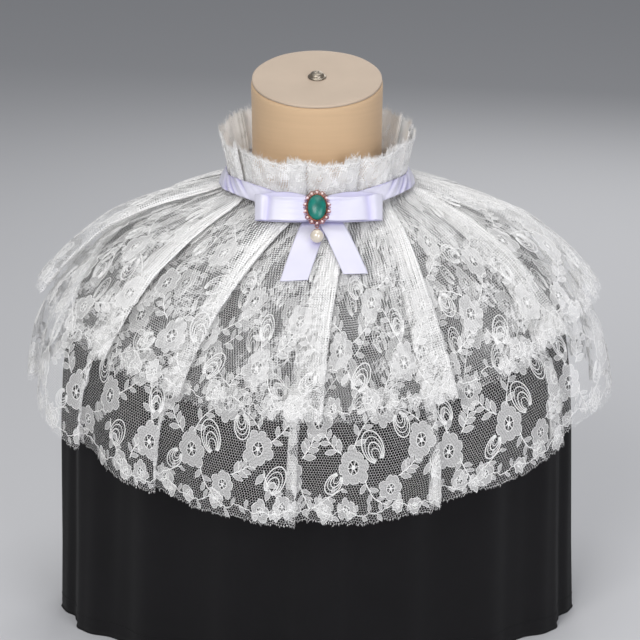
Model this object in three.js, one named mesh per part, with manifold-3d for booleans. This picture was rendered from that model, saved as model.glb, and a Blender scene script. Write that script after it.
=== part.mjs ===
// Detachable lace collar on a limbless dress form.
//
// Two tiers of knife-pleated lace hang from a satin neckband, a pleated lace heading
// stands above it, and a flat tailored bow with an oval brooch and a pearl drop closes
// the front. Millimetres, +Z up, the front faces -Y, the form's flat base is at z = 0.

import * as THREE from 'three';
import { mergeVertices } from 'three/addons/utils/BufferGeometryUtils.js';
import Module from 'manifold-3d';

const wasm = await Module();
wasm.setup();

// ---------------------------------------------------------------- driving sizes

const RING_Z = 410;            // height of the neck seam's centre above the base
const WALL = 1.0;              // thickness of every cloth wall
const SEAM_GAP = 0.4;          // space between pieces that are sewn to each other
const SEAM_START = 0.45;       // each lace piece starts this far from the seam line
const SEAM_LEVEL = 16;         // by this distance the pleats stand square to the cloth

const UPPER_LENGTH = 198;      // neck seam to hem of the upper tier
const LOWER_LENGTH = 280;      // neck seam to hem of the lower tier
const FRILL_HEIGHT = 46;       // neck seam to the top edge of the standing heading
const SCALLOPS = 20;           // scallops along each tier's hem
const SCALLOP_DEPTH = 8;

const NECK_WIDTH = 58.5;       // half the neck block's width
const NECK_DEPTH = 56;         // half the neck block's depth
const NECK_FOOT = { y: 6.4, z: -14 };   // centre of the neck block's foot, from the ring
const NECK_TOP = { y: -19, z: 94 };     // centre of its slanted top face
const NECK_TOP_TILT = 16;      // degrees, the top face tips to the front

const BOW_TILT = 30;           // degrees, the bow leans out with the chest
const BOW_CENTRE = { out: 78.1, drop: 12.3 };
const BOW_HEIGHT = 24;
const BOW_LEFT = 54;
const BOW_RIGHT = 57;
const BOW_BEND = 170;          // radius in plan that the bow follows

const STONE = { width: 8.05, height: 11.3, dome: 4.6 };   // half axes and dome height
const PEARL_RADIUS = 5.9;
const LOOP = { radius: 1.6, wire: 0.4 };    // fixed loop at the foot of the setting
const LINK = { radius: 1.9, wire: 0.35 };   // jump ring
const EYE = { radius: 1.5, wire: 0.35 };    // eye on the pearl's cap
const LINK_PLAY = 0.22;        // free play where two rings cross
const DROP_TILT = 60;          // degrees from plumb, the drop lies on the chest

// ---------------------------------------------------------------- drape profiles

// A profile row gives the distance along the cloth from the neck seam and, at the front,
// the side and the back, how far out from the axis and how far below the ring it lies.
const row = (s, front, side, back) => ({ s, front, side, back });

// inner envelope of the tiers
const DRAPE = [
  row(0, [58.5, 12], [73, 0], [64, -13]),
  row(8, [62, 19.2], [77.5, 6.6], [68, -6]),
  row(18, [68.3, 27], [85.5, 12.6], [75, 1]),
  row(48, [90.5, 47], [115, 23], [99, 19]),
  row(76, [107.5, 69.5], [142.5, 32.5], [117.5, 40]),
  row(115, [125.8, 104], [178.5, 50], [138, 73]),
  row(140, [135.5, 127], [198, 66], [147, 96.5]),
  row(170, [145.8, 155.5], [219.5, 87.5], [156, 125]),
  row(198, [153.2, 183], [235.5, 110.5], [162.5, 152]),
  row(226, [159.8, 211], [244, 137.5], [168, 179.5]),
  row(252, [164.5, 237.5], [247, 163.3], [172, 205]),
  row(280, [168.5, 267], [247.8, 191], [175.5, 232.8]),
];

// inner envelope of the standing heading, measured upwards from the seam
const HEADING = [
  row(0, [58.5, 12], [73, 0], [64, -13]),
  row(12, [59.5, 0.1], [72.5, -12], [64.5, -25]),
  row(46, [71.5, -31.7], [79, -46], [73, -58]),
];

// middle of the neckband, from its upper to its lower edge
const BAND = [
  row(0, [68.6, 4.6], [83.6, -8.6], [74.1, -20.6]),
  row(15, [74.7, 18.5], [91.9, 2.4], [81.5, -7.8]),
];

// Dress form below its neck. Between the shoulders it lies just under the cloth, and from
// there its black cover hangs in soft upright folds to the base.
const FORM = [
  row(0, [51, 14.4], [60, 14.4], [64, 14.4]),
  row(1, [54, 21], [72, 17.2], [72, 17]),
  row(2, [62, 38], [101, 20.5], [84, 24]),
  row(3, [76, 62], [141.8, 33.35], [94, 43]),
  row(4, [95, 98], [177.8, 50.8], [103, 74]),
  row(5, [108, 122], [196, 68], [108, 100]),
  row(6, [117, 148], [212, 92], [114, 122]),
  row(7, [124, 178], [223, 130], [119, 154]),
  row(8, [128, 208], [228, 178], [123, 192]),
  row(9, [130, 244], [230, 230], [126, 234]),
  row(10, [131, 290], [231, 288], [128, 288]),
  row(11, [132, 345], [232, 345], [129, 345]),
  row(12, [134, 410], [234, 410], [131, 410]),
];
const FOLDS = 17;              // upright folds of the form's cover
const FOLD_DEPTH = 4.5;        // how far they stand in and out at the base
const FOLD_ROWS = { start: 5, full: 9 };   // rows of FORM between which they deepen

// ---------------------------------------------------------------- pleats

// Each knife pleat ends in a sharp edge. Its azimuth, in degrees from the front with +
// towards +X, moves from the neck to the hem; depth scales how far the pleat stands out.
const pleat = (neck, hem, depth) => ({ neck, hem, depth });

const FIRST_EDGE = { neck: -181.4, hem: -181.5 };
const PLEATS = [
  pleat(-152, -149, 0.95),
  pleat(-120, -118, 1.0),
  pleat(-88, -88, 1.1),
  pleat(-56, -53, 1.0),
  pleat(-15, -30, 1.05),
  pleat(21, 1, 1.0),
  pleat(49, 29, 0.95),
  pleat(85, 66, 1.1),
  pleat(110, 95, 1.25),
  pleat(136, 122, 1.0),
  pleat(160, 150, 0.9),
  pleat(181.2, 182, 0.0),
];

// Section of one pleat as a control polygon: t along the pitch, h in heights.
const point = (t, h) => ({ t, h });
const KNIFE = [
  point(0.04, 0.12),
  point(0.25, 0.6),
  point(0.6, 1.02),
  point(0.95, 1.0),
  point(1.14, 0.78),
  point(1.0, 0.5),
  point(0.8, 0.46),
  point(0.66, 0.22),
  point(0.84, 0.0),
];
// The same cloth where it only waves, before its folds open.
const WAVE = [
  point(0.04, 0.1),
  point(0.22, 0.45),
  point(0.46, 0.85),
  point(0.66, 0.95),
  point(0.77, 0.75),
  point(0.82, 0.5),
  point(0.86, 0.3),
  point(0.9, 0.12),
  point(0.95, 0.03),
];
// Where the wall's columns lie along a pleat's polygon, a pair of them at each fold.
const COLUMNS = [0.1, 1.2, 2.3, 3.35, 4.65, 5.5, 6.3, 7.6, 8.4];

const UPPER_ROWS = [0, 14, 32, 76, 115, 160, UPPER_LENGTH];
const LOWER_ROWS = [0, 14, 32, 76, 115, 160, 190, 201, 207, 214, 224, 238, LOWER_LENGTH];
const HEADING_ROWS = [0, 12, FRILL_HEIGHT];

// Heights by distance from the seam: base is the lift off the envelope, pleat the relief.
const UPPER_RELIEF = [
  { s: 0, base: 2.3, pleat: 5.6 },
  { s: 18, base: 2.8, pleat: 6.2 },
  { s: 60, base: 4.2, pleat: 8 },
  { s: 130, base: 5.5, pleat: 12.5 },
  { s: 198, base: 6.0, pleat: 16.5 },
];
const LOWER_RELIEF = [
  { s: 0, base: 0.1, pleat: 0.9 },
  { s: 60, base: 0.1, pleat: 1.8 },
  { s: 140, base: 0.1, pleat: 3.0 },
  { s: 190, base: 0.1, pleat: 4.8 },
  { s: 204, base: 0.2, pleat: 8.5 },
  { s: 218, base: 0.4, pleat: 11.5 },
  { s: 240, base: 0.6, pleat: 14.5 },
  { s: 280, base: 1.0, pleat: 18.0 },
];
const HEADING_RELIEF = [
  { s: 0, base: 2.3, pleat: 5.6 },
  { s: 46, base: 2.3, pleat: 6.6 },
];
const FOLD_START = 188;        // where the lower tier's waves begin to fold over
const FOLD_END = 240;          // where they are full knife pleats

// ---------------------------------------------------------------- small helpers

const radians = THREE.MathUtils.degToRad;
const lerp = THREE.MathUtils.lerp;
const smooth = THREE.MathUtils.smoothstep;

// value of a table of rows at s, through read(row), as a smooth curve
function along(table, s, read) {
  const last = table.length - 1;
  const clamped = Math.min(Math.max(s, table[0].s), table[last].s);
  let k = 0;
  while (k < last - 1 && clamped > table[k + 1].s) k += 1;
  const slope = (i) => {
    const lo = Math.max(i - 1, 0);
    const hi = Math.min(i + 1, last);
    return (read(table[hi]) - read(table[lo])) / (table[hi].s - table[lo].s);
  };
  const span = table[k + 1].s - table[k].s;
  const f = (clamped - table[k].s) / span;
  const a = read(table[k]);
  const b = read(table[k + 1]);
  const ease = f * f * (3 - 2 * f);
  const bulge = f * (1 - f);
  return a + (b - a) * ease + span * bulge * ((1 - f) * slope(k) - f * slope(k + 1));
}

// a point of a draped profile at azimuth a and distance s
function drape(table, a, s) {
  const sin = Math.sin(a);
  const cos = Math.cos(a);
  const front = along(table, s, (r) => r.front[0]);
  const side = along(table, s, (r) => r.side[0]);
  const back = along(table, s, (r) => r.back[0]);
  const depth = lerp(back, front, (1 + cos) / 2);
  const drop = sin * sin * along(table, s, (r) => r.side[1])
    + 0.5 * (cos * cos + cos) * along(table, s, (r) => r.front[1])
    + 0.5 * (cos * cos - cos) * along(table, s, (r) => r.back[1]);
  return new THREE.Vector3(side * sin, -depth * cos, RING_Z - drop);
}

// the way along the cloth, away from the seam
function drapeDown(table, a, s) {
  const ds = 0.5;
  const end = table[table.length - 1].s;
  const before = drape(table, a, Math.max(s - ds, 0));
  return drape(table, a, Math.min(s + ds, end)).sub(before).normalize();
}

// the outward normal of a draped profile
function drapeNormal(table, a, s) {
  const da = 0.01;
  const across = drape(table, a + da, s).sub(drape(table, a - da, s));
  const normal = drapeDown(table, a, s).cross(across).normalize();
  const out = new THREE.Vector3(Math.sin(a), -Math.cos(a), 0);
  return normal.dot(out) < 0 ? normal.negate() : normal;
}

// the way that pleats stand out: level at the seam, then along the drape's normal
function liftDirection(table, a, s) {
  const normal = drapeNormal(table, a, s);
  const level = new THREE.Vector3(normal.x, normal.y, 0).normalize();
  return level.lerp(normal, smooth(s, 0, SEAM_LEVEL)).normalize();
}

// cubic B-spline weights
function bspline(f) {
  const g = 1 - f;
  return [
    (g * g * g) / 6,
    (3 * f * f * f - 6 * f * f + 4) / 6,
    (3 * g * g * g - 6 * g * g + 4) / 6,
    (f * f * f) / 6,
  ];
}

function edgeAzimuth(k, share) {
  const edge = k < 0 ? FIRST_EDGE : PLEATS[k];
  return radians(lerp(edge.neck, edge.hem, share));
}

// azimuth and height of the pleated section at polygon position p of all pleats
function section(p, share, fold) {
  const count = KNIFE.length;
  const total = PLEATS.length * count;
  const first = Math.floor(p);
  const weights = bspline(p - first);
  let azimuth = 0;
  let height = 0;
  weights.forEach((weight, j) => {
    const i = Math.min(Math.max(first + j - 1, 0), total - 1);
    const k = Math.floor(i / count);
    const knife = KNIFE[i % count];
    const wave = WAVE[i % count];
    const flat = PLEATS[k].depth > 0 ? fold : 0;
    const t = lerp(wave.t, knife.t, flat);
    const h = lerp(wave.h, knife.h, flat) * PLEATS[k].depth;
    azimuth += weight * lerp(edgeAzimuth(k - 1, share), edgeAzimuth(k, share), t);
    height += weight * h;
  });
  return { azimuth, height };
}

// positions along all the pleats, from one back edge to the other
function columnPositions() {
  const count = KNIFE.length;
  const end = PLEATS.length * count - 1;
  const list = PLEATS.flatMap((_, k) => COLUMNS.map((c) => k * count + c));
  return [...list.filter((p) => p < end - 0.5), end];
}

// share of the way from the neck seam to the hem, for the azimuth of the pleats
const hemShare = (s) => smooth(s, 0, LOWER_LENGTH);

// how far a scalloped hem is cut back at share u of the cloth's width
const scallop = (u) => SCALLOP_DEPTH * (1 - Math.abs(Math.sin(Math.PI * SCALLOPS * u)) ** 0.6);

// ---------------------------------------------------------------- mesh builders

function geometryOf(points, triangles) {
  const geometry = new THREE.BufferGeometry();
  const flat = points.flatMap((v) => [v.x, v.y, v.z]);
  geometry.setAttribute('position', new THREE.Float32BufferAttribute(flat, 3));
  geometry.setIndex(triangles.flat());
  return outward(geometry);
}

// turns a closed mesh so that its faces point out
function outward(geometry) {
  const index = geometry.index;
  const position = geometry.attributes.position;
  const [a, b, c] = [0, 1, 2].map(() => new THREE.Vector3());
  let volume = 0;
  for (let i = 0; i < index.count; i += 3) {
    a.fromBufferAttribute(position, index.getX(i));
    b.fromBufferAttribute(position, index.getX(i + 1));
    c.fromBufferAttribute(position, index.getX(i + 2));
    volume += a.dot(b.cross(c));
  }
  if (volume < 0) {
    for (let i = 0; i < index.count; i += 3) {
      const keep = index.getX(i);
      index.setX(i, index.getX(i + 1));
      index.setX(i + 1, keep);
    }
  }
  return geometry;
}

const MOST_MITRE = 1.6;        // a wall's corner moves out by at most this many thicknesses

// A closed wall of cloth from a grid of mid-points: grid[row][column]. A closed grid
// joins its last column to its first. A point may hold the way down the cloth there.
function wall(grid, closed = false, thickness = WALL) {
  const rows = grid.length;
  const columns = grid[0].length;
  const at = (i, j) => grid[i][closed ? (j + columns) % columns : j];
  const points = [];
  for (const sign of [1, -1]) {
    for (let i = 0; i < rows; i += 1) {
      for (let j = 0; j < columns; j += 1) {
        const before = at(i, closed ? j - 1 : Math.max(j - 1, 0));
        const after = at(i, closed ? j + 1 : Math.min(j + 1, columns - 1));
        const above = at(Math.max(i - 1, 0), j);
        const below = at(Math.min(i + 1, rows - 1), j);
        const down = at(i, j).down ?? below.clone().sub(above);
        const arriving = at(i, j).clone().sub(before).normalize();
        const leaving = after.clone().sub(at(i, j)).normalize();
        const tangent = arriving.add(leaving);
        const inner = closed || (j > 0 && j < columns - 1);
        const mitre = inner ? Math.min(2 / tangent.length(), MOST_MITRE) : 1;
        const normal = tangent.cross(down).normalize();
        points.push(at(i, j).clone().addScaledVector(normal, sign * mitre * thickness / 2));
      }
    }
  }
  const half = rows * columns;
  const id = (side, i, j) => side * half + i * columns + (closed ? j % columns : j);
  const triangles = [];
  const quad = (a, b, c, d) => triangles.push([a, b, c], [a, c, d]);
  const spans = closed ? columns : columns - 1;
  for (let i = 0; i < rows - 1; i += 1) {
    for (let j = 0; j < spans; j += 1) {
      quad(id(0, i, j), id(0, i, j + 1), id(0, i + 1, j + 1), id(0, i + 1, j));
      quad(id(1, i, j), id(1, i + 1, j), id(1, i + 1, j + 1), id(1, i, j + 1));
    }
  }
  for (let j = 0; j < spans; j += 1) {
    const end = rows - 1;
    quad(id(0, 0, j), id(1, 0, j), id(1, 0, j + 1), id(0, 0, j + 1));
    quad(id(0, end, j), id(0, end, j + 1), id(1, end, j + 1), id(1, end, j));
  }
  for (let i = 0; !closed && i < rows - 1; i += 1) {
    const end = columns - 1;
    quad(id(0, i, 0), id(0, i + 1, 0), id(1, i + 1, 0), id(1, i, 0));
    quad(id(0, i, end), id(1, i, end), id(1, i + 1, end), id(0, i + 1, end));
  }
  return geometryOf(points, triangles);
}

// a closed body from rings of points, with a fan at each end
function lofted(rings) {
  const columns = rings[0].length;
  const points = rings.flat();
  const triangles = [];
  for (let i = 0; i < rings.length - 1; i += 1) {
    for (let j = 0; j < columns; j += 1) {
      const a = i * columns + j;
      const b = i * columns + (j + 1) % columns;
      triangles.push([a, b, b + columns], [a, b + columns, a + columns]);
    }
  }
  for (const [ring, flip] of [[0, true], [rings.length - 1, false]]) {
    const centre = points.length;
    const middle = new THREE.Vector3();
    rings[ring].forEach((v) => middle.addScaledVector(v, 1 / columns));
    points.push(middle);
    for (let j = 0; j < columns; j += 1) {
      const a = ring * columns + j;
      const b = ring * columns + (j + 1) % columns;
      triangles.push(flip ? [centre, b, a] : [centre, a, b]);
    }
  }
  return geometryOf(points, triangles);
}

// a three.js geometry as one with shared vertices only
function welded(geometry) {
  const copy = geometry.clone();
  copy.deleteAttribute('normal');
  copy.deleteAttribute('uv');
  return mergeVertices(copy, 1e-4);
}

function solid(geometry) {
  const shape = welded(geometry);
  return new wasm.Manifold(new wasm.Mesh({
    numProp: 3,
    vertProperties: new Float32Array(shape.attributes.position.array),
    triVerts: new Uint32Array(shape.index.array),
  }));
}

// several closed geometries joined into one body
function joined(geometries) {
  const whole = geometries.map(solid).reduce((sum, next) => sum.add(next));
  const mesh = whole.getMesh();
  const result = new THREE.BufferGeometry();
  result.setAttribute('position', new THREE.BufferAttribute(mesh.vertProperties, 3));
  result.setIndex(new THREE.BufferAttribute(mesh.triVerts, 1));
  return result;
}

// ---------------------------------------------------------------- materials

const MATERIALS = {
  lace: new THREE.MeshStandardMaterial({ color: '#e6e1da', roughness: 0.85 }),
  satin: new THREE.MeshStandardMaterial({ color: '#efeefa', roughness: 0.35 }),
  jersey: new THREE.MeshStandardMaterial({ color: '#1b1a1c', roughness: 0.95 }),
  linen: new THREE.MeshStandardMaterial({ color: '#c6a884', roughness: 0.9 }),
  board: new THREE.MeshStandardMaterial({ color: '#d2c0ac', roughness: 0.8 }),
  steel: new THREE.MeshStandardMaterial({ color: '#8d8478', roughness: 0.4, metalness: 1 }),
  gilt: new THREE.MeshStandardMaterial({ color: '#c08a72', roughness: 0.3, metalness: 1 }),
  stone: new THREE.MeshStandardMaterial({ color: '#0f8a6f', roughness: 0.15 }),
  pearl: new THREE.MeshStandardMaterial({ color: '#efe9df', roughness: 0.25 }),
};

const collar = new THREE.Group();

function addPiece(name, geometry, material) {
  const mesh = new THREE.Mesh(geometry, material);
  mesh.name = name;
  collar.add(mesh);
}

// ---------------------------------------------------------------- lace tiers and heading

function pleatedGrid(profile, relief, rows, options) {
  const positions = columnPositions();
  const cloth = positions.map((p) => p / positions[positions.length - 1]);
  return rows.map((s, i) => positions.map((p, j) => {
    const hem = i === rows.length - 1 ? options.cut(cloth[j]) : 0;
    const top = i === 0 ? SEAM_START : 0;
    const reach = s + top - hem;
    const { azimuth, height } = section(p, options.share(reach), options.fold(reach));
    const base = along(relief, reach, (r) => r.base);
    const depth = along(relief, reach, (r) => r.pleat);
    const lift = base + depth * height;
    const place = drape(profile, azimuth, reach);
    place.addScaledVector(liftDirection(profile, azimuth, reach), lift);
    return Object.assign(place, { down: drapeDown(profile, azimuth, reach) });
  }));
}

function addTiers() {
  const lower = pleatedGrid(DRAPE, LOWER_RELIEF, LOWER_ROWS, {
    cut: scallop,
    share: hemShare,
    fold: (s) => smooth(s, FOLD_START, FOLD_END),
  });
  addPiece('cape_lower', wall(lower), MATERIALS.lace);
  const upper = pleatedGrid(DRAPE, UPPER_RELIEF, UPPER_ROWS, {
    cut: scallop,
    share: hemShare,
    fold: () => 1,
  });
  addPiece('cape_upper', wall(upper), MATERIALS.lace);
}

function addHeading() {
  const grid = pleatedGrid(HEADING, HEADING_RELIEF, HEADING_ROWS, {
    cut: () => 0,
    share: () => 0,
    fold: () => 1,
  });
  addPiece('neck_frill', wall(grid), MATERIALS.lace);
}

// ---------------------------------------------------------------- neckband and bow

function addNeckband() {
  const columns = 60;
  const lapStart = 176;         // degrees where the end begins to lap over the start
  const lapEnd = 185;
  const lapLift = 1.6;
  const grid = [0, 15].map((s) => {
    const line = [];
    for (let j = 0; j <= columns; j += 1) {
      const degrees = lerp(-178, lapEnd, j / columns);
      const a = radians(degrees);
      const lift = lapLift * smooth(degrees, lapStart - 16, lapStart);
      line.push(drape(BAND, a, s).addScaledVector(drapeNormal(BAND, a, s), lift));
    }
    return line;
  });
  addPiece('neck_ribbon', wall(grid), MATERIALS.satin);
}

// The bow, the brooch and the drop share a frame that leans out with the chest: x across,
// down along the bow, out along its normal.
const tilt = radians(BOW_TILT);
const DOWN = new THREE.Vector3(0, -Math.sin(tilt), -Math.cos(tilt));
const OUT = new THREE.Vector3(0, -Math.cos(tilt), Math.sin(tilt));
const BOW_ORIGIN = new THREE.Vector3(0, -BOW_CENTRE.out, RING_Z - BOW_CENTRE.drop);

const bowPoint = (x, down, out) => BOW_ORIGIN.clone()
  .add(new THREE.Vector3(x, x * x / (2 * BOW_BEND), 0))
  .addScaledVector(DOWN, down)
  .addScaledVector(OUT, out);

// A geometry built with x across, y up and z out is moved into the bow's frame.
function intoBow(geometry, x, down, out) {
  const frame = new THREE.Matrix4().makeBasis(
    new THREE.Vector3(1, 0, 0),
    DOWN.clone().negate(),
    OUT,
  );
  frame.setPosition(bowPoint(x, down, out));
  return geometry.applyMatrix4(frame);
}

function addBowLoop() {
  const steps = 14;
  const pinch = 4.2;            // mid-layer distance at the brooch
  const belly = 6.2;            // and half way along each loop
  const lineOf = (side) => {
    const line = [];
    for (let j = 0; j <= steps; j += 1) {
      const f = j / steps;
      const x = lerp(-BOW_LEFT, BOW_RIGHT, f);
      const reach = x < 0 ? -x / BOW_LEFT : x / BOW_RIGHT;
      const open = lerp(pinch, belly, Math.sin(Math.PI * Math.min(reach / 1.1, 1)) ** 2);
      const close = Math.sqrt(Math.max(1 - reach ** 6, 0));
      const depth = side > 0 ? open * Math.max(close, 0.36) : 0;
      line.push(new THREE.Vector2(x, depth));
    }
    return line;
  };
  const back = lineOf(-1);
  const front = lineOf(1).reverse();
  const middle = [...back, ...front];
  const rows = [-BOW_HEIGHT / 2, BOW_HEIGHT / 2];
  const grid = rows.map((down) => middle.map((v) => bowPoint(v.x, down, v.y)));
  addPiece('bow_loop', wall(grid, true), MATERIALS.satin);
}

// A tail lies on the crests of the upper tier, from under the bow to its cut end.
function addTail(name, lift, start, end, halfWidth) {
  const rows = 7;
  const columns = 3;
  const grid = [];
  for (let i = 0; i <= rows; i += 1) {
    const f = i / rows;
    const s = lerp(start.s, end.s, f);
    const centre = lerp(start.x, end.x, f);
    const line = [];
    for (let j = 0; j <= columns; j += 1) {
      const x = centre + halfWidth * lerp(-1, 1, j / columns);
      const width = along(DRAPE, s, (r) => r.side[0]);
      const a = Math.asin(x / width);
      const base = along(UPPER_RELIEF, s, (r) => r.base);
      const depth = along(UPPER_RELIEF, s, (r) => r.pleat);
      const height = base + 0.97 * depth + lift;
      line.push(drape(DRAPE, a, s).addScaledVector(liftDirection(DRAPE, a, s), height));
    }
    grid.push(line);
  }
  addPiece(name, wall(grid), MATERIALS.satin);
}

function addTails() {
  const firstLift = WALL + SEAM_GAP;
  const secondLift = firstLift + WALL + SEAM_GAP;
  addTail('bow_tail_left', firstLift, { x: -1, s: 17 }, { x: -21, s: 80 }, 11.8);
  addTail('bow_tail_right', secondLift, { x: 9, s: 17 }, { x: 33, s: 76 }, 11.2);
}

// ---------------------------------------------------------------- brooch and drop

const PLATE_BACK = 5.4;        // distance of the setting's back from the bow's back layer
const PLATE = 1.2;
const BEZEL_HEIGHT = 1.3;
const BEZEL_WALL = 0.6;
const SCALLOP_COUNT = 14;
const SCALLOP_RADIUS = 2.1;

function ellipse(width, height, steps) {
  const outline = [];
  for (let j = 0; j < steps; j += 1) {
    const a = 2 * Math.PI * j / steps;
    outline.push(new THREE.Vector2(width * Math.sin(a), -height * Math.cos(a)));
  }
  return outline;
}

const extrude = (shape, depth) => new THREE.ExtrudeGeometry(shape, {
  depth,
  bevelEnabled: false,
  curveSegments: 3,
});

function settingPlate() {
  const width = STONE.width + 2.3;
  const height = STONE.height + 2.7;
  const outline = [];
  const holes = [];
  for (let k = 0; k < SCALLOP_COUNT; k += 1) {
    const a = 2 * Math.PI * k / SCALLOP_COUNT;
    const centre = new THREE.Vector2(width * Math.sin(a), -height * Math.cos(a));
    const facing = Math.atan2(-Math.cos(a) * width, Math.sin(a) * height);
    for (const turn of [-70, -35, 0, 35, 70]) {
      const b = facing + radians(turn);
      outline.push(new THREE.Vector2(
        centre.x + SCALLOP_RADIUS * Math.cos(b),
        centre.y + SCALLOP_RADIUS * Math.sin(b),
      ));
    }
    const hole = new THREE.Path();
    hole.absarc(centre.x, centre.y, SCALLOP_RADIUS - 0.85, 0, 2 * Math.PI, true);
    holes.push(hole);
  }
  const shape = new THREE.Shape(outline);
  shape.holes = holes;
  return extrude(shape, PLATE);
}

function bezelRing() {
  const shape = new THREE.Shape(ellipse(
    STONE.width + 0.3 + BEZEL_WALL,
    STONE.height + 0.3 + BEZEL_WALL,
    28,
  ));
  shape.holes = [new THREE.Path(ellipse(STONE.width + 0.3, STONE.height + 0.3, 28))];
  return extrude(shape, PLATE + BEZEL_HEIGHT);
}

// where the drop hangs: the fixed loop's centre, and the way down along the drop
const SETTING_FOOT = STONE.height + 2.7 + SCALLOP_RADIUS;
const LOOP_CENTRE = bowPoint(0, SETTING_FOOT + 0.9, PLATE_BACK + PLATE / 2);
const hang = radians(DROP_TILT);
const HANG = new THREE.Vector3(0, -Math.sin(hang), -Math.cos(hang));
const HANG_OUT = new THREE.Vector3(0, -Math.cos(hang), Math.sin(hang));
const crossing = (a, b) => a.radius + b.radius - a.wire - b.wire - LINK_PLAY;
const LINK_CENTRE = LOOP_CENTRE.clone().addScaledVector(HANG, crossing(LOOP, LINK));
const EYE_CENTRE = LINK_CENTRE.clone().addScaledVector(HANG, crossing(LINK, EYE));
const PEARL_CENTRE = EYE_CENTRE.clone()
  .addScaledVector(HANG, EYE.radius * 0.75 + PEARL_RADIUS);

// a ring of wire at a centre, its hole facing along the axis
function wireRing(ring, centre, axis, steps) {
  const torus = new THREE.TorusGeometry(ring.radius, ring.wire, 6, steps);
  const turn = new THREE.Quaternion().setFromUnitVectors(new THREE.Vector3(0, 0, 1), axis);
  return torus.applyQuaternion(turn).translate(centre.x, centre.y, centre.z);
}

function addBrooch() {
  const parts = [settingPlate(), bezelRing()];
  const flat = parts.map((geometry) => intoBow(geometry, 0, 0, PLATE_BACK));
  const loop = wireRing(LOOP, LOOP_CENTRE, HANG_OUT, 14);
  addPiece('brooch_setting', joined([...flat, loop]), MATERIALS.gilt);

  const rings = [0, 0.35, 0.62, 0.84, 0.96].map((f) => {
    const shrink = Math.sqrt(1 - f * f);
    const out = f * STONE.dome;
    return ellipse(STONE.width * shrink, STONE.height * shrink, 24)
      .map((v) => new THREE.Vector3(v.x, v.y, out));
  });
  const stone = lofted(rings);
  intoBow(stone, 0, 0, PLATE_BACK + PLATE + 0.3);
  addPiece('brooch_stone', stone, MATERIALS.stone);
}

function addDrop() {
  const across = new THREE.Vector3(1, 0, 0);
  const link = welded(wireRing(LINK, LINK_CENTRE, across, 16));
  addPiece('drop_link', link, MATERIALS.gilt);
  const eye = wireRing(EYE, EYE_CENTRE, HANG_OUT, 12);
  const pearl = new THREE.SphereGeometry(PEARL_RADIUS, 16, 10)
    .translate(PEARL_CENTRE.x, PEARL_CENTRE.y, PEARL_CENTRE.z);
  addPiece('pearl_drop', joined([eye, pearl]), MATERIALS.pearl);
}

// ---------------------------------------------------------------- dress form

// how far the form's cover stands out at azimuth a and row s
function coverFold(a, s) {
  const depth = FOLD_DEPTH * smooth(s, FOLD_ROWS.start, FOLD_ROWS.full);
  return depth * Math.cos(FOLDS * a + 0.8 * Math.sin(3 * a));
}

function addForm() {
  const columns = 40;
  const bodyColumns = 5 * FOLDS;
  const rings = FORM.map((r) => {
    const ring = [];
    for (let j = 0; j < bodyColumns; j += 1) {
      const a = 2 * Math.PI * j / bodyColumns;
      const out = new THREE.Vector3(Math.sin(a), -Math.cos(a), 0);
      ring.push(drape(FORM, a, r.s).addScaledVector(out, coverFold(a, r.s)));
    }
    return ring;
  });
  addPiece('form_body', lofted(rings), MATERIALS.jersey);

  const neckRing = (centre, tiltDegrees, width, depth) => {
    const ring = [];
    const slope = Math.tan(radians(tiltDegrees));
    for (let j = 0; j < columns; j += 1) {
      const a = 2 * Math.PI * j / columns;
      const y = -depth * Math.cos(a);
      ring.push(new THREE.Vector3(
        width * Math.sin(a),
        centre.y + y,
        RING_Z + centre.z + slope * y,
      ));
    }
    return ring;
  };
  const capThickness = 2.5;
  const underCap = { y: NECK_TOP.y, z: NECK_TOP.z - capThickness - 0.3 };
  const capFoot = { y: NECK_TOP.y, z: NECK_TOP.z - capThickness };
  addPiece('form_neck', lofted([
    neckRing(NECK_FOOT, 0, NECK_WIDTH, NECK_DEPTH),
    neckRing(underCap, NECK_TOP_TILT, NECK_WIDTH, NECK_DEPTH),
  ]), MATERIALS.linen);
  addPiece('form_neck_cap', lofted([
    neckRing(capFoot, NECK_TOP_TILT, NECK_WIDTH - 1, NECK_DEPTH - 1),
    neckRing(NECK_TOP, NECK_TOP_TILT, NECK_WIDTH - 1, NECK_DEPTH - 1),
  ]), MATERIALS.board);

  const pinProfile = [
    [0, 0], [8.1, 0], [8.1, 1.1], [6.4, 1.5], [6.2, 2.8], [4.9, 4.1], [2.8, 4.8], [0, 5],
  ].map(([r, z]) => new THREE.Vector2(r, z));
  const pin = welded(new THREE.LatheGeometry(pinProfile, 18))
    .rotateX(Math.PI / 2)
    .rotateX(radians(NECK_TOP_TILT))
    .translate(0, NECK_TOP.y, RING_Z + NECK_TOP.z + 0.32);
  addPiece('form_neck_pin', outward(pin), MATERIALS.steel);
}

addForm();
addTiers();
addHeading();
addNeckband();
addTails();
addBowLoop();
addBrooch();
addDrop();

export default collar;
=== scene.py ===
# Detachable lace collar on a limbless dress form.
#
# The pleated net, its lace ornament, the satin, the brooch and the form are worked out as
# whole numpy arrays in millimetres and put into the frame in metres. The tiers' pleats turn
# to their hem position sooner than in the solid model. Front is -Y, +Z is up.

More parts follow.
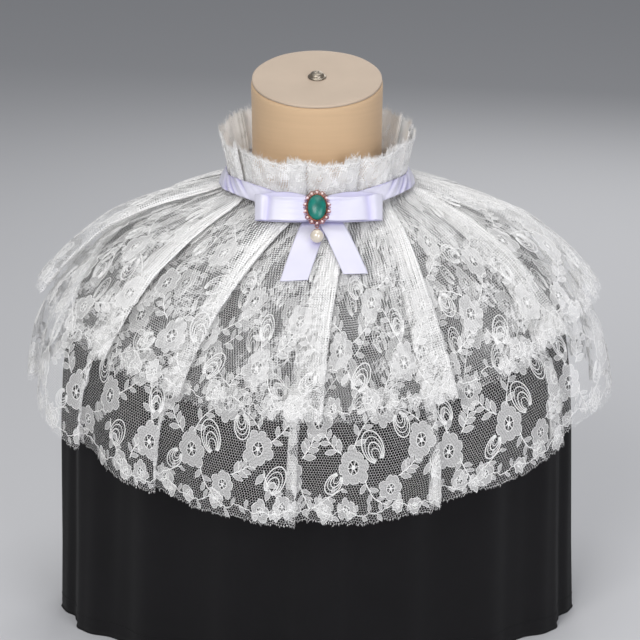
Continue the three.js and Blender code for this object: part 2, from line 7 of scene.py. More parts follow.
import bmesh
import bpy
import numpy as np
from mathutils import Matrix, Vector


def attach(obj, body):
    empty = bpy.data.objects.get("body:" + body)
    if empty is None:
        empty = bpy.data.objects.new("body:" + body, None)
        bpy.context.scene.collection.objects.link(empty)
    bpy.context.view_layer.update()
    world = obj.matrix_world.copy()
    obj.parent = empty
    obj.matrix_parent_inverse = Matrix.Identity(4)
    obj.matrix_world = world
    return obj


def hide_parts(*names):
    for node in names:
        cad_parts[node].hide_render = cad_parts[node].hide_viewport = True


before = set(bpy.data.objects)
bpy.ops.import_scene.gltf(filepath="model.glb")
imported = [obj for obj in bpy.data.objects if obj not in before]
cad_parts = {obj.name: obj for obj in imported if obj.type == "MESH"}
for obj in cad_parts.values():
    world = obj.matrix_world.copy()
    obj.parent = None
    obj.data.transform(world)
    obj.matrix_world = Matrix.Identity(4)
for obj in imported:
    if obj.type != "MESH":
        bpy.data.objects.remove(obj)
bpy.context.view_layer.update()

bl_info = {
    "name": "Lace collar",
    "version": (1, 0, 0),
    "blender": (4, 5, 0),
    "location": "View3D > Sidebar > Collar",
    "description": "Two-tier pleated lace collar with satin bow, brooch and dress form",
    "category": "Add Mesh",
}

MM = 0.001


def linear(colour):
    """sRGB hex value to linear red, green, blue and alpha."""
    parts = np.array([(colour >> shift) & 255 for shift in (16, 8, 0)]) / 255
    low = parts / 12.92
    high = ((parts + 0.055) / 1.055) ** 2.4
    return (*np.where(parts <= 0.04045, low, high).tolist(), 1.0)


# ------------------------------------------------------------------ sizes and colours


def size(name, text, value, least=0.0, most=1000.0):
    """A length in millimetres that a user may change."""
    return bpy.props.FloatProperty(
        name=name, description=text + ", mm", default=value, min=least, max=most
    )


def colour(name, text, value):
    """A colour that a user may change, given as sRGB hex and kept linear."""
    return bpy.props.FloatVectorProperty(
        name=name, description=text, subtype="COLOR", size=4, min=0, max=1, default=linear(value)
    )


class CollarSizes(bpy.types.PropertyGroup):
    """Sizes of the collar's cloth and trim."""

    upper_length: size("Upper tier", "Neck seam to hem of the upper tier", 198)
    lower_length: size("Lower tier", "Neck seam to hem of the lower tier", 280)
    heading_height: size("Heading", "Height of the standing heading above the seam", 46)
    band_width: size("Neckband", "Width of the satin neckband", 15)
    bow_width: size("Bow ribbon", "Width of the bow's ribbon", 24)
    net_cell: size("Net cell", "Width of one mesh of the net across its flats", 2.3)
    net_thread: size("Net thread", "Width of the net's thread where it lies open", 0.14)
    scallop_depth: size("Scallop depth", "Depth of the hem's scallops", 7)
    scallops: bpy.props.IntProperty(
        name="Scallops", description="Scallops along each hem", default=20, min=4, max=60
    )


class CollarColours(bpy.types.PropertyGroup):
    """Colours of the collar's materials."""

    lace: colour("Lace", "Cotton of the net and its ornament", 0xF1F0EE)
    satin: colour("Satin", "Satin ribbon", 0xD4D2E0)
    cover: colour("Cover", "Black cotton cover of the dress form", 0x0D0C0E)
    linen: colour("Linen", "Cover of the neck block", 0xC9AA86)
    board: colour("Board", "Top of the neck block", 0xB8A693)
    gilt: colour("Gilt", "Rose-gold plating of the brooch", 0xA66A58)
    stone: colour("Stone", "Cabochon", 0x04665A)
    pearl: colour("Pearl", "Pearl drop", 0xD2C7B6)
    floor: colour("Floor", "Studio floor", 0xC9C9CB)


def sizes():
    return bpy.context.scene.collar_sizes


def colours():
    return bpy.context.scene.collar_colours


# ------------------------------------------------------------------ drape profiles

RING_Z = 410.0  # height of the neck seam's centre above the base

# Each row: distance along the cloth from the seam, then how far out from the axis and how
# far below the ring the cloth lies at the front, at the side and at the back.
DRAPE = np.array([
    [0, 58.5, 12, 73, 0, 64, -13],
    [8, 62, 19.2, 77.5, 6.6, 68, -6],
    [18, 68.3, 27, 85.5, 12.6, 75, 1],
    [48, 90.5, 47, 115, 23, 99, 19],
    [76, 107.5, 69.5, 142.5, 32.5, 117.5, 40],
    [115, 125.8, 104, 178.5, 50, 138, 73],
    [140, 135.5, 127, 198, 66, 147, 96.5],
    [170, 145.8, 155.5, 219.5, 87.5, 156, 125],
    [198, 153.2, 183, 235.5, 110.5, 162.5, 152],
    [226, 159.8, 211, 244, 137.5, 168, 179.5],
    [252, 164.5, 237.5, 247, 163.3, 172, 205],
    [280, 168.5, 267, 247.8, 191, 175.5, 232.8],
])
HEADING = np.array([
    [0, 58.5, 12, 73, 0, 64, -13],
    [12, 59.5, 0.1, 72.5, -12, 64.5, -25],
    [46, 71.5, -31.7, 79, -46, 73, -58],
])
BAND = np.array([
    [0, 68.6, 4.6, 81.6, -8.6, 74.1, -20.6],
    [15, 74.7, 18.5, 88.2, 2.4, 81.5, -7.8],
])
# The form's rows are only counted; their other columns are the same as above.
FORM = np.array([
    [0, 51, 14.4, 60, 14.4, 64, 14.4],
    [1, 54, 21, 72, 17.2, 72, 17],
    [2, 62, 38, 101, 20.5, 84, 24],
    [3, 76, 62, 141.8, 33.35, 94, 43],
    [4, 95, 98, 177.8, 50.8, 103, 74],
    [5, 108, 122, 196, 68, 108, 100],
    [6, 117, 148, 212, 92, 114, 122],
    [7, 124, 178, 223, 130, 119, 154],
    [8, 128, 208, 228, 178, 123, 192],
    [9, 130, 244, 230, 230, 126, 234],
    [10, 131, 290, 231, 288, 128, 288],
    [11, 132, 345, 232, 345, 129, 345],
    [12, 134, 410, 234, 410, 131, 410],
])
COVER_FOLDS = 17  # folds of the black cover round the form
COVER_FOLD_DEPTH = 4.5

# Knife pleats: azimuth of each sharp edge at the neck and at the hem in degrees from the
# front, and how much it stands out.
FIRST_EDGE = (-181.4, -181.5)
PLEATS = np.array([
    [-152, -149, 0.95],
    [-120, -118, 1.0],
    [-88, -86, 1.1],
    [-58, -51.5, 1.0],
    [-11, -31.5, 1.05],
    [23, -2.5, 1.0],
    [53, 26, 0.95],
    [91, 58, 1.1],
    [116, 92, 1.25],
    [140, 121, 1.0],
    [161, 150, 0.9],
    [181.2, 182, 0.0],
])

# One pleat as a control polygon: share of the pitch, and height in pleat depths.
KNIFE = np.array([
    [0.04, 0.12], [0.25, 0.6], [0.6, 1.02], [0.95, 1.0], [1.14, 0.78],
    [1.03, 0.5], [0.89, 0.46], [0.8, 0.22], [0.9, 0.0],
])
WAVE = np.array([
    [0.04, 0.1], [0.22, 0.45], [0.46, 0.85], [0.66, 0.95], [0.77, 0.75],
    [0.82, 0.5], [0.86, 0.3], [0.9, 0.12], [0.95, 0.03],
])
SEAM_START = 0.45  # distance from the seam at which the net sheets start
SEAM_LEVEL = 16.0  # down to here the pleats stand out level, below it along the normal
TURN_LENGTH = 58.0  # how soon below the seam the pleats turn to their hem azimuth
FOLD_START = 96.0  # from here down to FOLD_END the lower tier's waves close to pleats
FOLD_END = 186.0
FOLD_SHARE = 0.5  # how far the lower tier's pleats close

# Distance from the seam, lift off the envelope, pleat relief.
UPPER_RELIEF = np.array([
    [0, 1.6, 4.2], [18, 2.4, 5.4], [60, 4.2, 8], [130, 5.5, 12.5], [198, 6, 16.5],
])
LOWER_RELIEF = np.array([
    [0, 0.1, 0.9], [60, 0.1, 1.8], [140, 0.1, 3.6], [190, 0.1, 5.2],
    [204, 0.2, 8.5], [218, 0.4, 11.5], [240, 0.6, 14.5], [280, 1, 18],
])
HEADING_RELIEF = np.array([[0, 2.3, 5.6], [46, 2.3, 6.6]])
HEADING_CUT = 6.0  # how unevenly the heading's top edge is cut


def smooth(x, low, high):
    """Cubic ease from 0 at low to 1 at high."""
    f = np.clip((x - low) / (high - low), 0, 1)
    return f * f * (3 - 2 * f)


def mix(a, b, f):
    return a + (b - a) * f


def along(table, s, column):
    """A column of a table at distance s: cubic Hermite with the slopes of its neighbours.

    Past the last row it runs on, so that threads can stand out past an edge.
    """
    knots, values = table[:, 0], table[:, column]
    s = np.maximum(s, knots[0])
    k = np.clip(np.searchsorted(knots, s, side="left") - 1, 0, len(knots) - 2)
    low = np.maximum(np.arange(len(knots)) - 1, 0)
    high = np.minimum(np.arange(len(knots)) + 1, len(knots) - 1)
    slopes = (values[high] - values[low]) / (knots[high] - knots[low])
    span = knots[k + 1] - knots[k]
    f = (s - knots[k]) / span
    ease = f * f * (3 - 2 * f)
    bulge = span * f * (1 - f) * ((1 - f) * slopes[k] - f * slopes[k + 1])
    return mix(values[k], values[k + 1], ease) + bulge


def straight(table, s, column):
    """A column of a table at distance s, in straight lines between its rows."""
    return np.interp(s, table[:, 0], table[:, column])


def drape(table, azimuth, s, line=along):
    """A profile's point: x = side sin a, y = -depth cos a, and the drop blends three ways."""
    sin, cos = np.sin(azimuth), np.cos(azimuth)
    depth = mix(line(table, s, 5), line(table, s, 1), (1 + cos) / 2)
    drop = (
        sin * sin * line(table, s, 4)
        + 0.5 * (cos * cos + cos) * line(table, s, 2)
        + 0.5 * (cos * cos - cos) * line(table, s, 6)
    )
    return np.stack([line(table, s, 3) * sin, -depth * cos, RING_Z - drop], axis=-1)


def unit(v):
    return v / np.maximum(np.linalg.norm(v, axis=-1, keepdims=True), 1e-9)


def drape_normal(table, azimuth, s):
    """Outward normal of a profile from differences along it and round it."""
    end = table[-1, 0]
    down = drape(table, azimuth, np.minimum(s + 0.5, end)) - drape(
        table, azimuth, np.maximum(s - 0.5, 0)
    )
    across = drape(table, azimuth + 0.01, s) - drape(table, azimuth - 0.01, s)
    normal = unit(np.cross(unit(down), across))
    out = np.sin(azimuth) * normal[..., 0] - np.cos(azimuth) * normal[..., 1]
    return np.where(out[..., None] < 0, -normal, normal)


def lift_direction(table, azimuth, s):
    """The way that pleats stand out: level at the seam, then along the normal."""
    normal = drape_normal(table, azimuth, s)
    level = unit(normal * np.array([1, 1, 0]))
    return unit(mix(level, normal, smooth(s, 0, SEAM_LEVEL)[..., None]))


def waves(x, periods, seed):
    """A sum of sines of the given periods with phases from a seed, within -1 and 1."""
    phases = np.random.default_rng(seed).uniform(0, 2 * np.pi, len(periods))
    total = sum(np.sin(2 * np.pi * x / t + f) for t, f in zip(periods, phases))
    return total / len(periods)


# ------------------------------------------------------------------ pleated cloth


class Cloth:
    """A pleated piece: where each point of its flat cut (u across, s down, mm) hangs.

    p counts the control points of all the pleats, from one end of the cut to the other.
    """

    POINTS = len(KNIFE)
    LAST = len(PLEATS) * len(KNIFE) - 1

    def __init__(self, profile, relief, length, folding, turning, seed, ripple, fullness=1.0):
        self.profile = profile
        self.relief = relief
        self.length = length
        self.folding = folding
        self.turning = turning
        self.seed = seed
        self.ripple = ripple
        self.p = np.linspace(0.1, self.LAST, 5000)
        line = self.at(self.p, np.full_like(self.p, length))
        steps = np.linalg.norm(np.diff(line, axis=0), axis=1)
        self.u = np.concatenate([[0], np.cumsum(steps)]) * fullness
        self.width = float(self.u[-1])

    def section(self, p, s):
        """Azimuth and height: a uniform cubic B-spline over the pleats' control polygons."""
        turn = (1 - np.exp(-s / TURN_LENGTH)) if self.turning else np.zeros_like(s)
        fold = FOLD_SHARE * smooth(s, FOLD_START, FOLD_END) if self.folding else np.ones_like(s)
        edges = np.vstack([FIRST_EDGE, PLEATS[:, :2]])
        first = np.floor(p).astype(int)
        f = p - first
        g = 1 - f
        weights = (
            g**3 / 6,
            (3 * f**3 - 6 * f**2 + 4) / 6,
            (3 * g**3 - 6 * g**2 + 4) / 6,
            f**3 / 6,
        )
        azimuth = np.zeros(np.broadcast(p, s).shape)
        height = np.zeros_like(azimuth)
        for j, weight in enumerate(weights):
            i = np.clip(first + j - 1, 0, self.LAST)
            k, m = i // self.POINTS, i % self.POINTS
            depth = PLEATS[k, 2]
            flat = np.where(depth > 0, fold, 0)
            t = mix(WAVE[m, 0], KNIFE[m, 0], flat)
            h = mix(WAVE[m, 1], KNIFE[m, 1], flat) * depth
            start = mix(edges[k, 0], edges[k, 1], turn)
            end = mix(edges[k + 1, 0], edges[k + 1, 1], turn)
            azimuth += weight * mix(start, end, t)
            height += weight * h
        return np.radians(azimuth), height

    def at(self, p, s):
        """Where the cloth hangs, its gathers fading out below the seam."""
        azimuth, height = self.section(p, s)
        lift = along(self.relief, s, 1) + along(self.relief, s, 2) * height
        gathers = waves(p, (0.83, 1.27, 0.61, 1.9), self.seed)
        sag = waves(p + s / 90, (2.9, 4.7, 7.3), self.seed + 1)
        lift = lift + self.ripple * gathers * (1 - smooth(s, 25, 130))
        lift = lift + self.ripple * 1.6 * sag * smooth(s, 60, 200)
        place = drape(self.profile, azimuth, s)
        return place + lift_direction(self.profile, azimuth, s) * lift[..., None]

    def place(self, u, s, lift=0.0):
        """Points of the flat cut at u and s, lifted off the cloth along its normal."""
        p = np.interp(u, self.u, self.p)
        here = self.at(p, s)
        across = self.at(np.minimum(p + 0.02, self.LAST), s) - self.at(p - 0.02, s)
        down = self.at(p, s + 0.5) - self.at(p, np.maximum(s - 0.5, 0))
        normal = unit(np.cross(down, across))
        return here + normal * np.asarray(lift)[..., None]

    def band(self, u, s):
        """1 along the fold that each pleat ends in, 0 on the open cloth, less to the hem."""
        q = np.interp(u, self.u, self.p) % self.POINTS
        near = 1 - smooth(s, 40, 190)
        start = 3.2 - 0.7 * near
        window = smooth(q, start - 0.2, start + 1.4) * (1 - smooth(q, 4.6, 6.4))
        return window * (0.12 + 0.68 * near)

    def strip(self, u):
        """1 on the single layer that starts beside each fold's sharp edge, 0 elsewhere."""
        q = np.interp(u, self.u, self.p) % self.POINTS
        return 1 - smooth(q, 0.7, 2.3) + smooth(q, 7.5, 8.5)

    def gathered(self, u, s):
        """How much the flat cut is drawn together across at a point, 0 to 1."""
        p = np.interp(u, self.u, self.p)
        step = 0.05
        chord = np.linalg.norm(self.at(p + step, s) - self.at(p - step, s), axis=-1)
        flat = np.interp(p + step, self.p, self.u) - np.interp(p - step, self.p, self.u)
        return np.clip(1 - chord / np.maximum(flat, 1e-6), 0, 1)


def grid_quads(rows, columns, closed=False):
    """Quads of a grid of points, row after row; a closed one joins its last column."""
    wrap = columns if closed else columns - 1
    i, j = np.meshgrid(np.arange(rows - 1), np.arange(wrap), indexing="ij")
    next_j = (j + 1) % columns
    corners = (i * columns + j, (i + 1) * columns + j, (i + 1) * columns + next_j)
    return np.stack([*corners, i * columns + next_j], axis=-1).reshape(-1, 4)


def new_piece(name, points, faces, materials, slots=None, uv=None, fields=None, body="root"):
    """A mesh in metres from points in mm, with its UVs per vertex in mm."""
    mesh = bpy.data.meshes.new(name)
    mesh.from_pydata((np.asarray(points).reshape(-1, 3) * MM).tolist(), [], list(faces))
    for material in materials:
        mesh.materials.append(material)
    if slots is not None:
        mesh.polygons.foreach_set("material_index", np.asarray(slots, dtype=np.int32))
    if uv is not None:
        corners = np.empty(len(mesh.loops), dtype=np.int32)
        mesh.loops.foreach_get("vertex_index", corners)
        layer = mesh.uv_layers.new(name="cloth")
        layer.data.foreach_set("uv", np.asarray(uv).reshape(-1, 2)[corners].ravel())
    for field, values in (fields or {}).items():
        made = mesh.attributes.new(field, "FLOAT", "POINT")
        made.data.foreach_set("value", np.asarray(values, dtype=np.float32).ravel())
    mesh.shade_smooth()
    piece = bpy.data.objects.new(name, mesh)
    bpy.context.scene.collection.objects.link(piece)
    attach(piece, body)
    return piece


# ------------------------------------------------------------------ lace ornament

FILL, CORD = 0, 1
HEM_FADE = 45.0  # by this height above the hem the pattern no longer follows the scallops
TILES = 10  # pattern repeats across a tier
NET_COLUMNS = 861  # points across each net sheet


class Gathered:
    """Points, faces and finishes of several shapes that make one piece."""

    def __init__(self):
        self.points = []
        self.faces = []
        self.slots = []
        self.count = 0


class Ornament(Gathered):
    """Lace ornament in the flat: x across the cloth, y up from the hem, and lift, in mm."""

    def take(self, points, faces, slot):
        """Adds points and their quads of one finish."""
        self.points.append(points)
        self.faces.append(faces + self.count)
        self.slots.append(np.full(len(faces), slot))
        self.count += len(points)

    def grid(self, points, slot, closed=False):
        """Adds a grid of points as quads of one finish."""
        self.take(points.reshape(-1, 3), grid_quads(*points.shape[:2], closed), slot)

    def cord(self, path, width, closed=False, crest=0.55):
        """A ridge along a path: its two edges lie on the net and its middle stands up."""
        if closed:
            along_path = np.roll(path, -1, axis=0) - np.roll(path, 1, axis=0)
        else:
            along_path = np.gradient(path, axis=0)
        tangent = unit(along_path)
        side = np.stack([-tangent[:, 1], tangent[:, 0]], axis=-1) * width / 2
        rows = []
        for sign, lift in ((-1, 0.15), (0, crest), (1, 0.15)):
            edge = path + sign * side
            rows.append(np.column_stack([edge, np.full(len(path), lift)]))
        self.grid(np.stack(rows), CORD, closed)

    def flower(self, x, y, radius, lobes=8, turn=0.0, stretch=1.24):
        """Broad petals: lobes |cos| of uneven reach, round a ring of holes and a centre dot."""
        steps = 6
        angle = np.linspace(0, 2 * np.pi, steps * lobes, endpoint=False)
        lobe = np.abs(np.cos(lobes * angle / 2)) ** 0.5
        uneven = 1 + 0.05 * np.sin(2 * angle + x) + 0.09 * np.sin(3 * angle + y)
        uneven = uneven + 0.05 * np.sin(5 * angle + x + y)
        outline = radius * (0.82 + 0.21 * lobe) * uneven
        way = np.stack([np.cos(angle + turn), stretch * np.sin(angle + turn)], axis=-1)
        centre = np.array([x, y])
        inner = 0.38 * radius
        rings = []
        for f in (0, 0.5, 1):
            ring = centre + way * mix(inner, outline * 0.97, f)[:, None]
            rings.append(np.column_stack([ring, np.full(len(angle), 0.2)]))
        self.grid(np.stack(rings), FILL, closed=True)
        self.cord(centre + way * outline[:, None] * 0.98, 0.55, closed=True)
        self.cord(centre + way[::2] * inner, 0.6, closed=True)
        self.cord(centre + way[::4] * 0.07 * radius, 0.13 * radius, closed=True)
        for k in range(0, len(angle), steps * lobes // 6):
            spoke = np.linspace(0.12, 0.38, 2)[:, None] * radius * way[k] + centre
            self.cord(spoke, 0.7, crest=0.35)

    def leaf(self, x, y, length, width, turn):
        """An almond: half width is the sine of the way along it, with a raised vein."""
        f = np.linspace(0, 1, 6)
        half = width / 2 * np.maximum(np.sin(np.pi * f) ** 0.8, 0.08)
        flat = np.stack([
            np.column_stack([f * length, -half]),
            np.column_stack([f * length, 0 * half]),
            np.column_stack([f * length, half]),
        ])
        cos, sin = np.cos(turn), np.sin(turn)
        turned = flat @ np.array([[cos, sin], [-sin, cos]]) + np.array([x, y])
        lift = np.broadcast_to(np.array([0.2, 0.4, 0.2])[:, None, None], (3, 6, 1))
        self.grid(np.concatenate([turned, lift], axis=-1), FILL)
        rim = np.concatenate([turned[0], turned[2][::-1]])
        core = turned[1].mean(axis=0)
        band = np.stack([rim, core + (rim - core) * 0.86])
        height = np.full((2, len(rim), 1), 0.5)
        self.grid(np.concatenate([band, height], axis=-1), CORD, closed=True)

    def sprig(self, start, bend, end, leaves=6, length=9.5):
        """A stem along a quadratic curve with leaves to both sides by turns."""
        f = np.linspace(0, 1, 14)[:, None]
        start, bend, end = (np.array(v, dtype=float) for v in (start, bend, end))
        path = (1 - f) ** 2 * start + 2 * f * (1 - f) * bend + f * f * end
        self.cord(path, 0.85)
        tangent = unit(np.gradient(path, axis=0))
        for k in range(leaves):
            at = (k + 0.7) / leaves * (len(path) - 1)
            i = min(int(at), len(path) - 1)
            heading = np.arctan2(tangent[i, 1], tangent[i, 0])
            side = 0.85 if k % 2 else -0.85
            grown = length * (1 - 0.35 * k / leaves)
            self.leaf(*path[i], grown, 0.46 * grown, heading + side)

    def shell(self, x, y, wide, tall, turn, cords=4):
        """Nested open ovals of cord that meet at their stem."""
        angle = np.linspace(-2.7, 2.7, 22)
        cos, sin = np.cos(turn), np.sin(turn)
        spin = np.array([[cos, sin], [-sin, cos]])
        for k in range(cords):
            scale = 1 - 0.21 * k
            oval = np.column_stack([
                wide * scale * np.cos(angle) - wide * (1 - scale) * 0.75,
                tall * scale * np.sin(angle),
            ])
            self.cord(oval @ spin + np.array([x, y]), 0.95 if k % 2 == 0 else 0.7)

    def lashes(self, width, pitch, reach, seed, lean=0.35, thick=(0.3, 0.5)):
        """Fine loose threads that stand out past an edge in tufts, each a tapered blade."""
        draw = np.random.default_rng(seed)
        foot = np.arange(pitch, width - pitch, pitch)
        foot = foot + draw.uniform(-0.4, 0.4, len(foot)) * pitch
        tuft = 0.65 + 0.35 * waves(foot, (5.3, 8.9, 17.0), seed + 1)
        length = draw.uniform(*reach, len(foot)) * tuft
        lean = (draw.normal(0, lean, len(foot)) + 0.5 * waves(foot, (7.7, 13.1), seed)) * length
        thick = draw.uniform(*thick, len(foot))
        low = np.stack([foot - thick / 2, np.full_like(foot, 0.6), np.full_like(foot, 0.1)], -1)
        high = np.stack([foot + thick / 2, np.full_like(foot, 0.6), np.full_like(foot, 0.1)], -1)
        tip = np.stack([foot + lean, -length, draw.uniform(-0.5, 0.8, len(foot))], -1)
        end = tip + np.array([0.14, 0, 0])
        points = np.stack([low, tip, end, high], axis=1).reshape(-1, 3)
        faces = np.arange(len(points)).reshape(-1, 4)
        self.take(points, faces, CORD)

    def repeated(self, pitch, times):
        """Points, faces and finishes of this ornament side by side."""
        points = np.concatenate(self.points)
        faces = np.concatenate(self.faces)
        slots = np.concatenate(self.slots)
        shifts = np.arange(times) * np.array([[pitch], [0], [0]])
        all_points = (points[None] + shifts.T[:, None]).reshape(-1, 3)
        all_faces = (faces[None] + np.arange(times)[:, None, None] * len(points)).reshape(-1, 4)
        return all_points, all_faces, np.tile(slots, times)


# Flowers of one repeat: share of its width, height above the hem, radius, lobes, turn.
FLOWERS = (
    (0.09, 13, 8.5, 6, 0.3), (0.24, 47, 13.4, 8, 0.1), (0.43, 26, 10.0, 7, 0.9),
    (0.60, 60, 13.0, 8, 0.5), (0.74, 15, 8.0, 6, 0.0), (0.90, 42, 13.6, 8, 0.2),
    (0.05, 84, 12.6, 8, 0.7), (0.40, 92, 13.2, 8, 0.0), (0.76, 96, 12.8, 8, 0.4),
    (0.20, 128, 12.4, 7, 0.2), (0.56, 132, 13.4, 8, 0.6), (0.93, 136, 12.6, 8, 0.1),
    (0.06, 172, 12.8, 8, 0.5), (0.37, 168, 12.4, 7, 0.3), (0.72, 176, 13.2, 8, 0.2),
    (0.22, 208, 12.6, 8, 0.0), (0.54, 212, 12.8, 8, 0.8), (0.88, 214, 12.4, 7, 0.4),
    (0.05, 250, 12.6, 8, 0.3), (0.38, 252, 12.8, 8, 0.1), (0.70, 254, 12.6, 8, 0.6),
)
# Sprigs of one repeat: start, bend and end, each a share of the width and a height.
SPRIGS = (
    ((0.02, 8), (0.10, 22), (0.19, 30)), ((0.30, 36), (0.33, 18), (0.41, 12)),
    ((0.47, 36), (0.52, 40), (0.56, 46)), ((0.64, 44), (0.66, 26), (0.72, 22)),
    ((0.80, 22), (0.82, 34), (0.84, 36)), ((0.96, 34), (0.99, 18), (1.02, 10)),
    ((0.24, 62), (0.28, 80), (0.34, 86)), ((0.18, 58), (0.12, 64), (0.09, 74)),
    ((0.60, 75), (0.55, 86), (0.47, 90)), ((0.66, 66), (0.72, 74), (0.75, 82)),
    ((0.90, 57), (0.86, 76), (0.82, 90)), ((0.97, 54), (1.01, 62), (1.03, 72)),
    ((0.05, 98), (0.09, 114), (0.15, 122)), ((0.38, 106), (0.30, 112), (0.26, 122)),
    ((0.44, 104), (0.52, 110), (0.55, 118)), ((0.74, 110), (0.68, 116), (0.62, 126)),
    ((0.80, 108), (0.88, 114), (0.91, 122)), ((0.20, 142), (0.14, 152), (0.08, 160)),
    ((0.26, 138), (0.33, 146), (0.36, 156)), ((0.56, 147), (0.50, 158), (0.43, 165)),
    ((0.62, 142), (0.68, 150), (0.71, 162)), ((0.93, 150), (0.86, 160), (0.79, 170)),
    ((0.98, 146), (1.03, 152), (1.05, 160)), ((0.08, 186), (0.12, 198), (0.17, 204)),
    ((0.38, 182), (0.34, 194), (0.27, 202)), ((0.44, 178), (0.50, 188), (0.53, 198)),
    ((0.70, 190), (0.66, 200), (0.59, 208)), ((0.78, 186), (0.82, 196), (0.86, 202)),
    ((0.20, 222), (0.12, 230), (0.08, 240)), ((0.28, 220), (0.34, 230), (0.37, 240)),
    ((0.54, 226), (0.48, 238), (0.43, 246)), ((0.60, 222), (0.66, 232), (0.69, 242)),
    ((0.88, 228), (0.80, 240), (0.75, 248)), ((0.94, 226), (1.00, 236), (1.04, 242)),
)
# Shells of one repeat: share of the width, height, half sizes and turn.
SHELLS = (
    (0.34, 62, 14, 9, 2.0), (0.70, 36, 13, 8, 1.1), (0.14, 34, 10, 6.5, 4.1),
    (0.50, 76, 11, 7, 5.0), (0.89, 76, 12, 7, 1.9), (0.29, 100, 12, 8, 0.9),
    (0.66, 112, 12, 8, 2.3), (0.06, 128, 12, 7, 1.4), (0.46, 148, 12, 8, 1.8),
    (0.83, 152, 12, 7, 1.2), (0.24, 182, 11, 7, 2.1), (0.60, 190, 12, 7, 1.3),
)


def field(pitch, most, flowers=True):
    """The flowers, or the shells and sprigs, of one repeat up to a height."""
    drawn = Ornament()
    if flowers:
        for x, y, radius, lobes, turn in FLOWERS:
            if y < most:
                drawn.flower(x * pitch, y, 0.95 * radius, lobes, turn)
        return drawn
    for x, y, wide, tall, turn in SHELLS:
        if y < most:
            drawn.shell(x * pitch, y, wide, tall, turn)
    for k, curve in enumerate(SPRIGS):
        start, bend, end = ((x * pitch, y) for x, y in curve)
        if start[1] < most:
            drawn.sprig(start, bend, end, leaves=5 + k % 3, length=9 + k % 4)
    return drawn


def border(width, scallops, seed):
    """A wandering stem with leaves and small flowers, and lashes along the whole hem."""
    drawn = Ornament()
    x = np.arange(0, width, 2.2)
    wander = 9 + 4.5 * waves(x, (61.0, 37.0, 23.0), seed)
    drawn.cord(np.column_stack([x, wander]), 0.8)
    for k in range(int(width / 6.5)):
        foot = (k + 0.5) * 6.5
        side = 1 if k % 2 else -1
        level = np.interp(foot, x, wander)
        drawn.leaf(foot, level + side * 0.8, 6 + k % 3, 3.6, side * 1.0 + 0.2 * (k % 4))
    for k in range(3 * scallops):
        foot = (k + 0.5 + 0.3 * np.sin(2.4 * k)) * width / (3 * scallops)
        radius = 4.6 + k % 4
        drawn.flower(foot, 1.25 * radius + 2 * (k % 3), radius, 5 + k % 3, 0.7 * k)
    drawn.lashes(width, 1.25, (0.6, 2.2), seed)
    return drawn


def cut_back(cloth, u, scallops, depth):
    """How far the hem is cut back at u: shallow scallops |sin| with an uneven edge."""
    scallop = 1 - np.abs(np.sin(np.pi * scallops * u / cloth.width)) ** 0.6
    uneven = 0.5 + 0.5 * waves(u, (4.3, 7.1, 11.7, 29.0), 71)
    return depth * (0.4 * scallop + 0.6 * uneven)


def hem_place(cloth, x, y, lift, depth):
    """A point of the flat, measured up from the scalloped hem, on the hanging cloth."""
    cut = cut_back(cloth, x, sizes().scallops, depth) * (1 - smooth(y, 0, HEM_FADE))
    return cloth.place(x, cloth.length - y - cut, lift)


def lay(name, cloth, points, faces, slots, materials, depth, face=1.0):
    """Puts flat ornament on a cloth and leaves out what runs past the cloth's ends."""
    x, y = points[:, 0], points[:, 1]
    inside = (x > 1) & (x < cloth.width - 1) & (y < cloth.length - 3)
    kept = inside[faces].all(axis=1)
    used, faces = np.unique(faces[kept], return_inverse=True)
    faces = faces.reshape(-1, 4)
    x, y, lift = points[used].T
    place = hem_place(cloth, x, y, lift * face, depth)
    uv = np.column_stack([x, y])
    piece = new_piece(name, place, faces.tolist(), materials, slots[kept], uv)
    return piece


def net_sheet(name, cloth, rows, columns, depth, material, dense=0.0, drawn=1.0, folded=0.0):
    """The net itself: a grid over the flat cut, with how far it is gathered at each point.

    The meshes are counted from each pleat's root along the hanging cloth, so that they keep
    their size where the pleats close.
    """
    p = np.linspace(cloth.p[0], cloth.p[-1], columns)
    u = np.interp(p, cloth.p, cloth.u)
    y = np.linspace(cloth.length - SEAM_START, 0, rows)
    x, y = np.meshgrid(u, y)
    place = hem_place(cloth, x, y, 0.0, depth)
    s = cloth.length - y
    open_strip = cloth.strip(x)
    drawn = cloth.gathered(x, s) * drawn * (1 - 0.8 * open_strip)
    drawn = drawn + dense + folded * (cloth.band(x, s) + 0.3 * (1 - smooth(s, 20, 120)))
    steps = np.linalg.norm(np.diff(place, axis=1), axis=-1)
    run = np.concatenate([np.zeros((rows, 1)), np.cumsum(steps, axis=1)], axis=1)
    pleat = np.floor((p + 3) / cloth.POINTS).astype(int)
    root = np.searchsorted(pleat, pleat)
    uv = np.stack([x, y + 400], axis=-1)
    fields = {"gather": drawn, "mesh": run - run[:, root] + 53.0 * pleat, "strip": open_strip}
    piece = new_piece(
        name, place, grid_quads(rows, columns).tolist(), [material], None, uv, fields
    )
    return piece


# ------------------------------------------------------------------ material helpers


def add(tree, kind, inputs=(), out=0, **settings):
    """Adds a shader node with its settings and its inputs, links or values, by place."""
    made = tree.nodes.new("ShaderNode" + kind)
    for name, value in settings.items():
        setattr(made, name, value)
    pairs = inputs.items() if isinstance(inputs, dict) else enumerate(inputs)
    for key, value in pairs:
        if isinstance(value, bpy.types.NodeSocket):
            tree.links.new(value, made.inputs[key])
        elif value is not None:
            made.inputs[key].default_value = value
    return made.outputs[out]


def maths(tree, operation, *inputs):
    """Arithmetic on values."""
    return add(tree, "Math", inputs, operation=operation)


def vector(tree, operation, *inputs, out=0):
    """Arithmetic on vectors; out 1 is the result as a value."""
    return add(tree, "VectorMath", inputs, out, operation=operation)


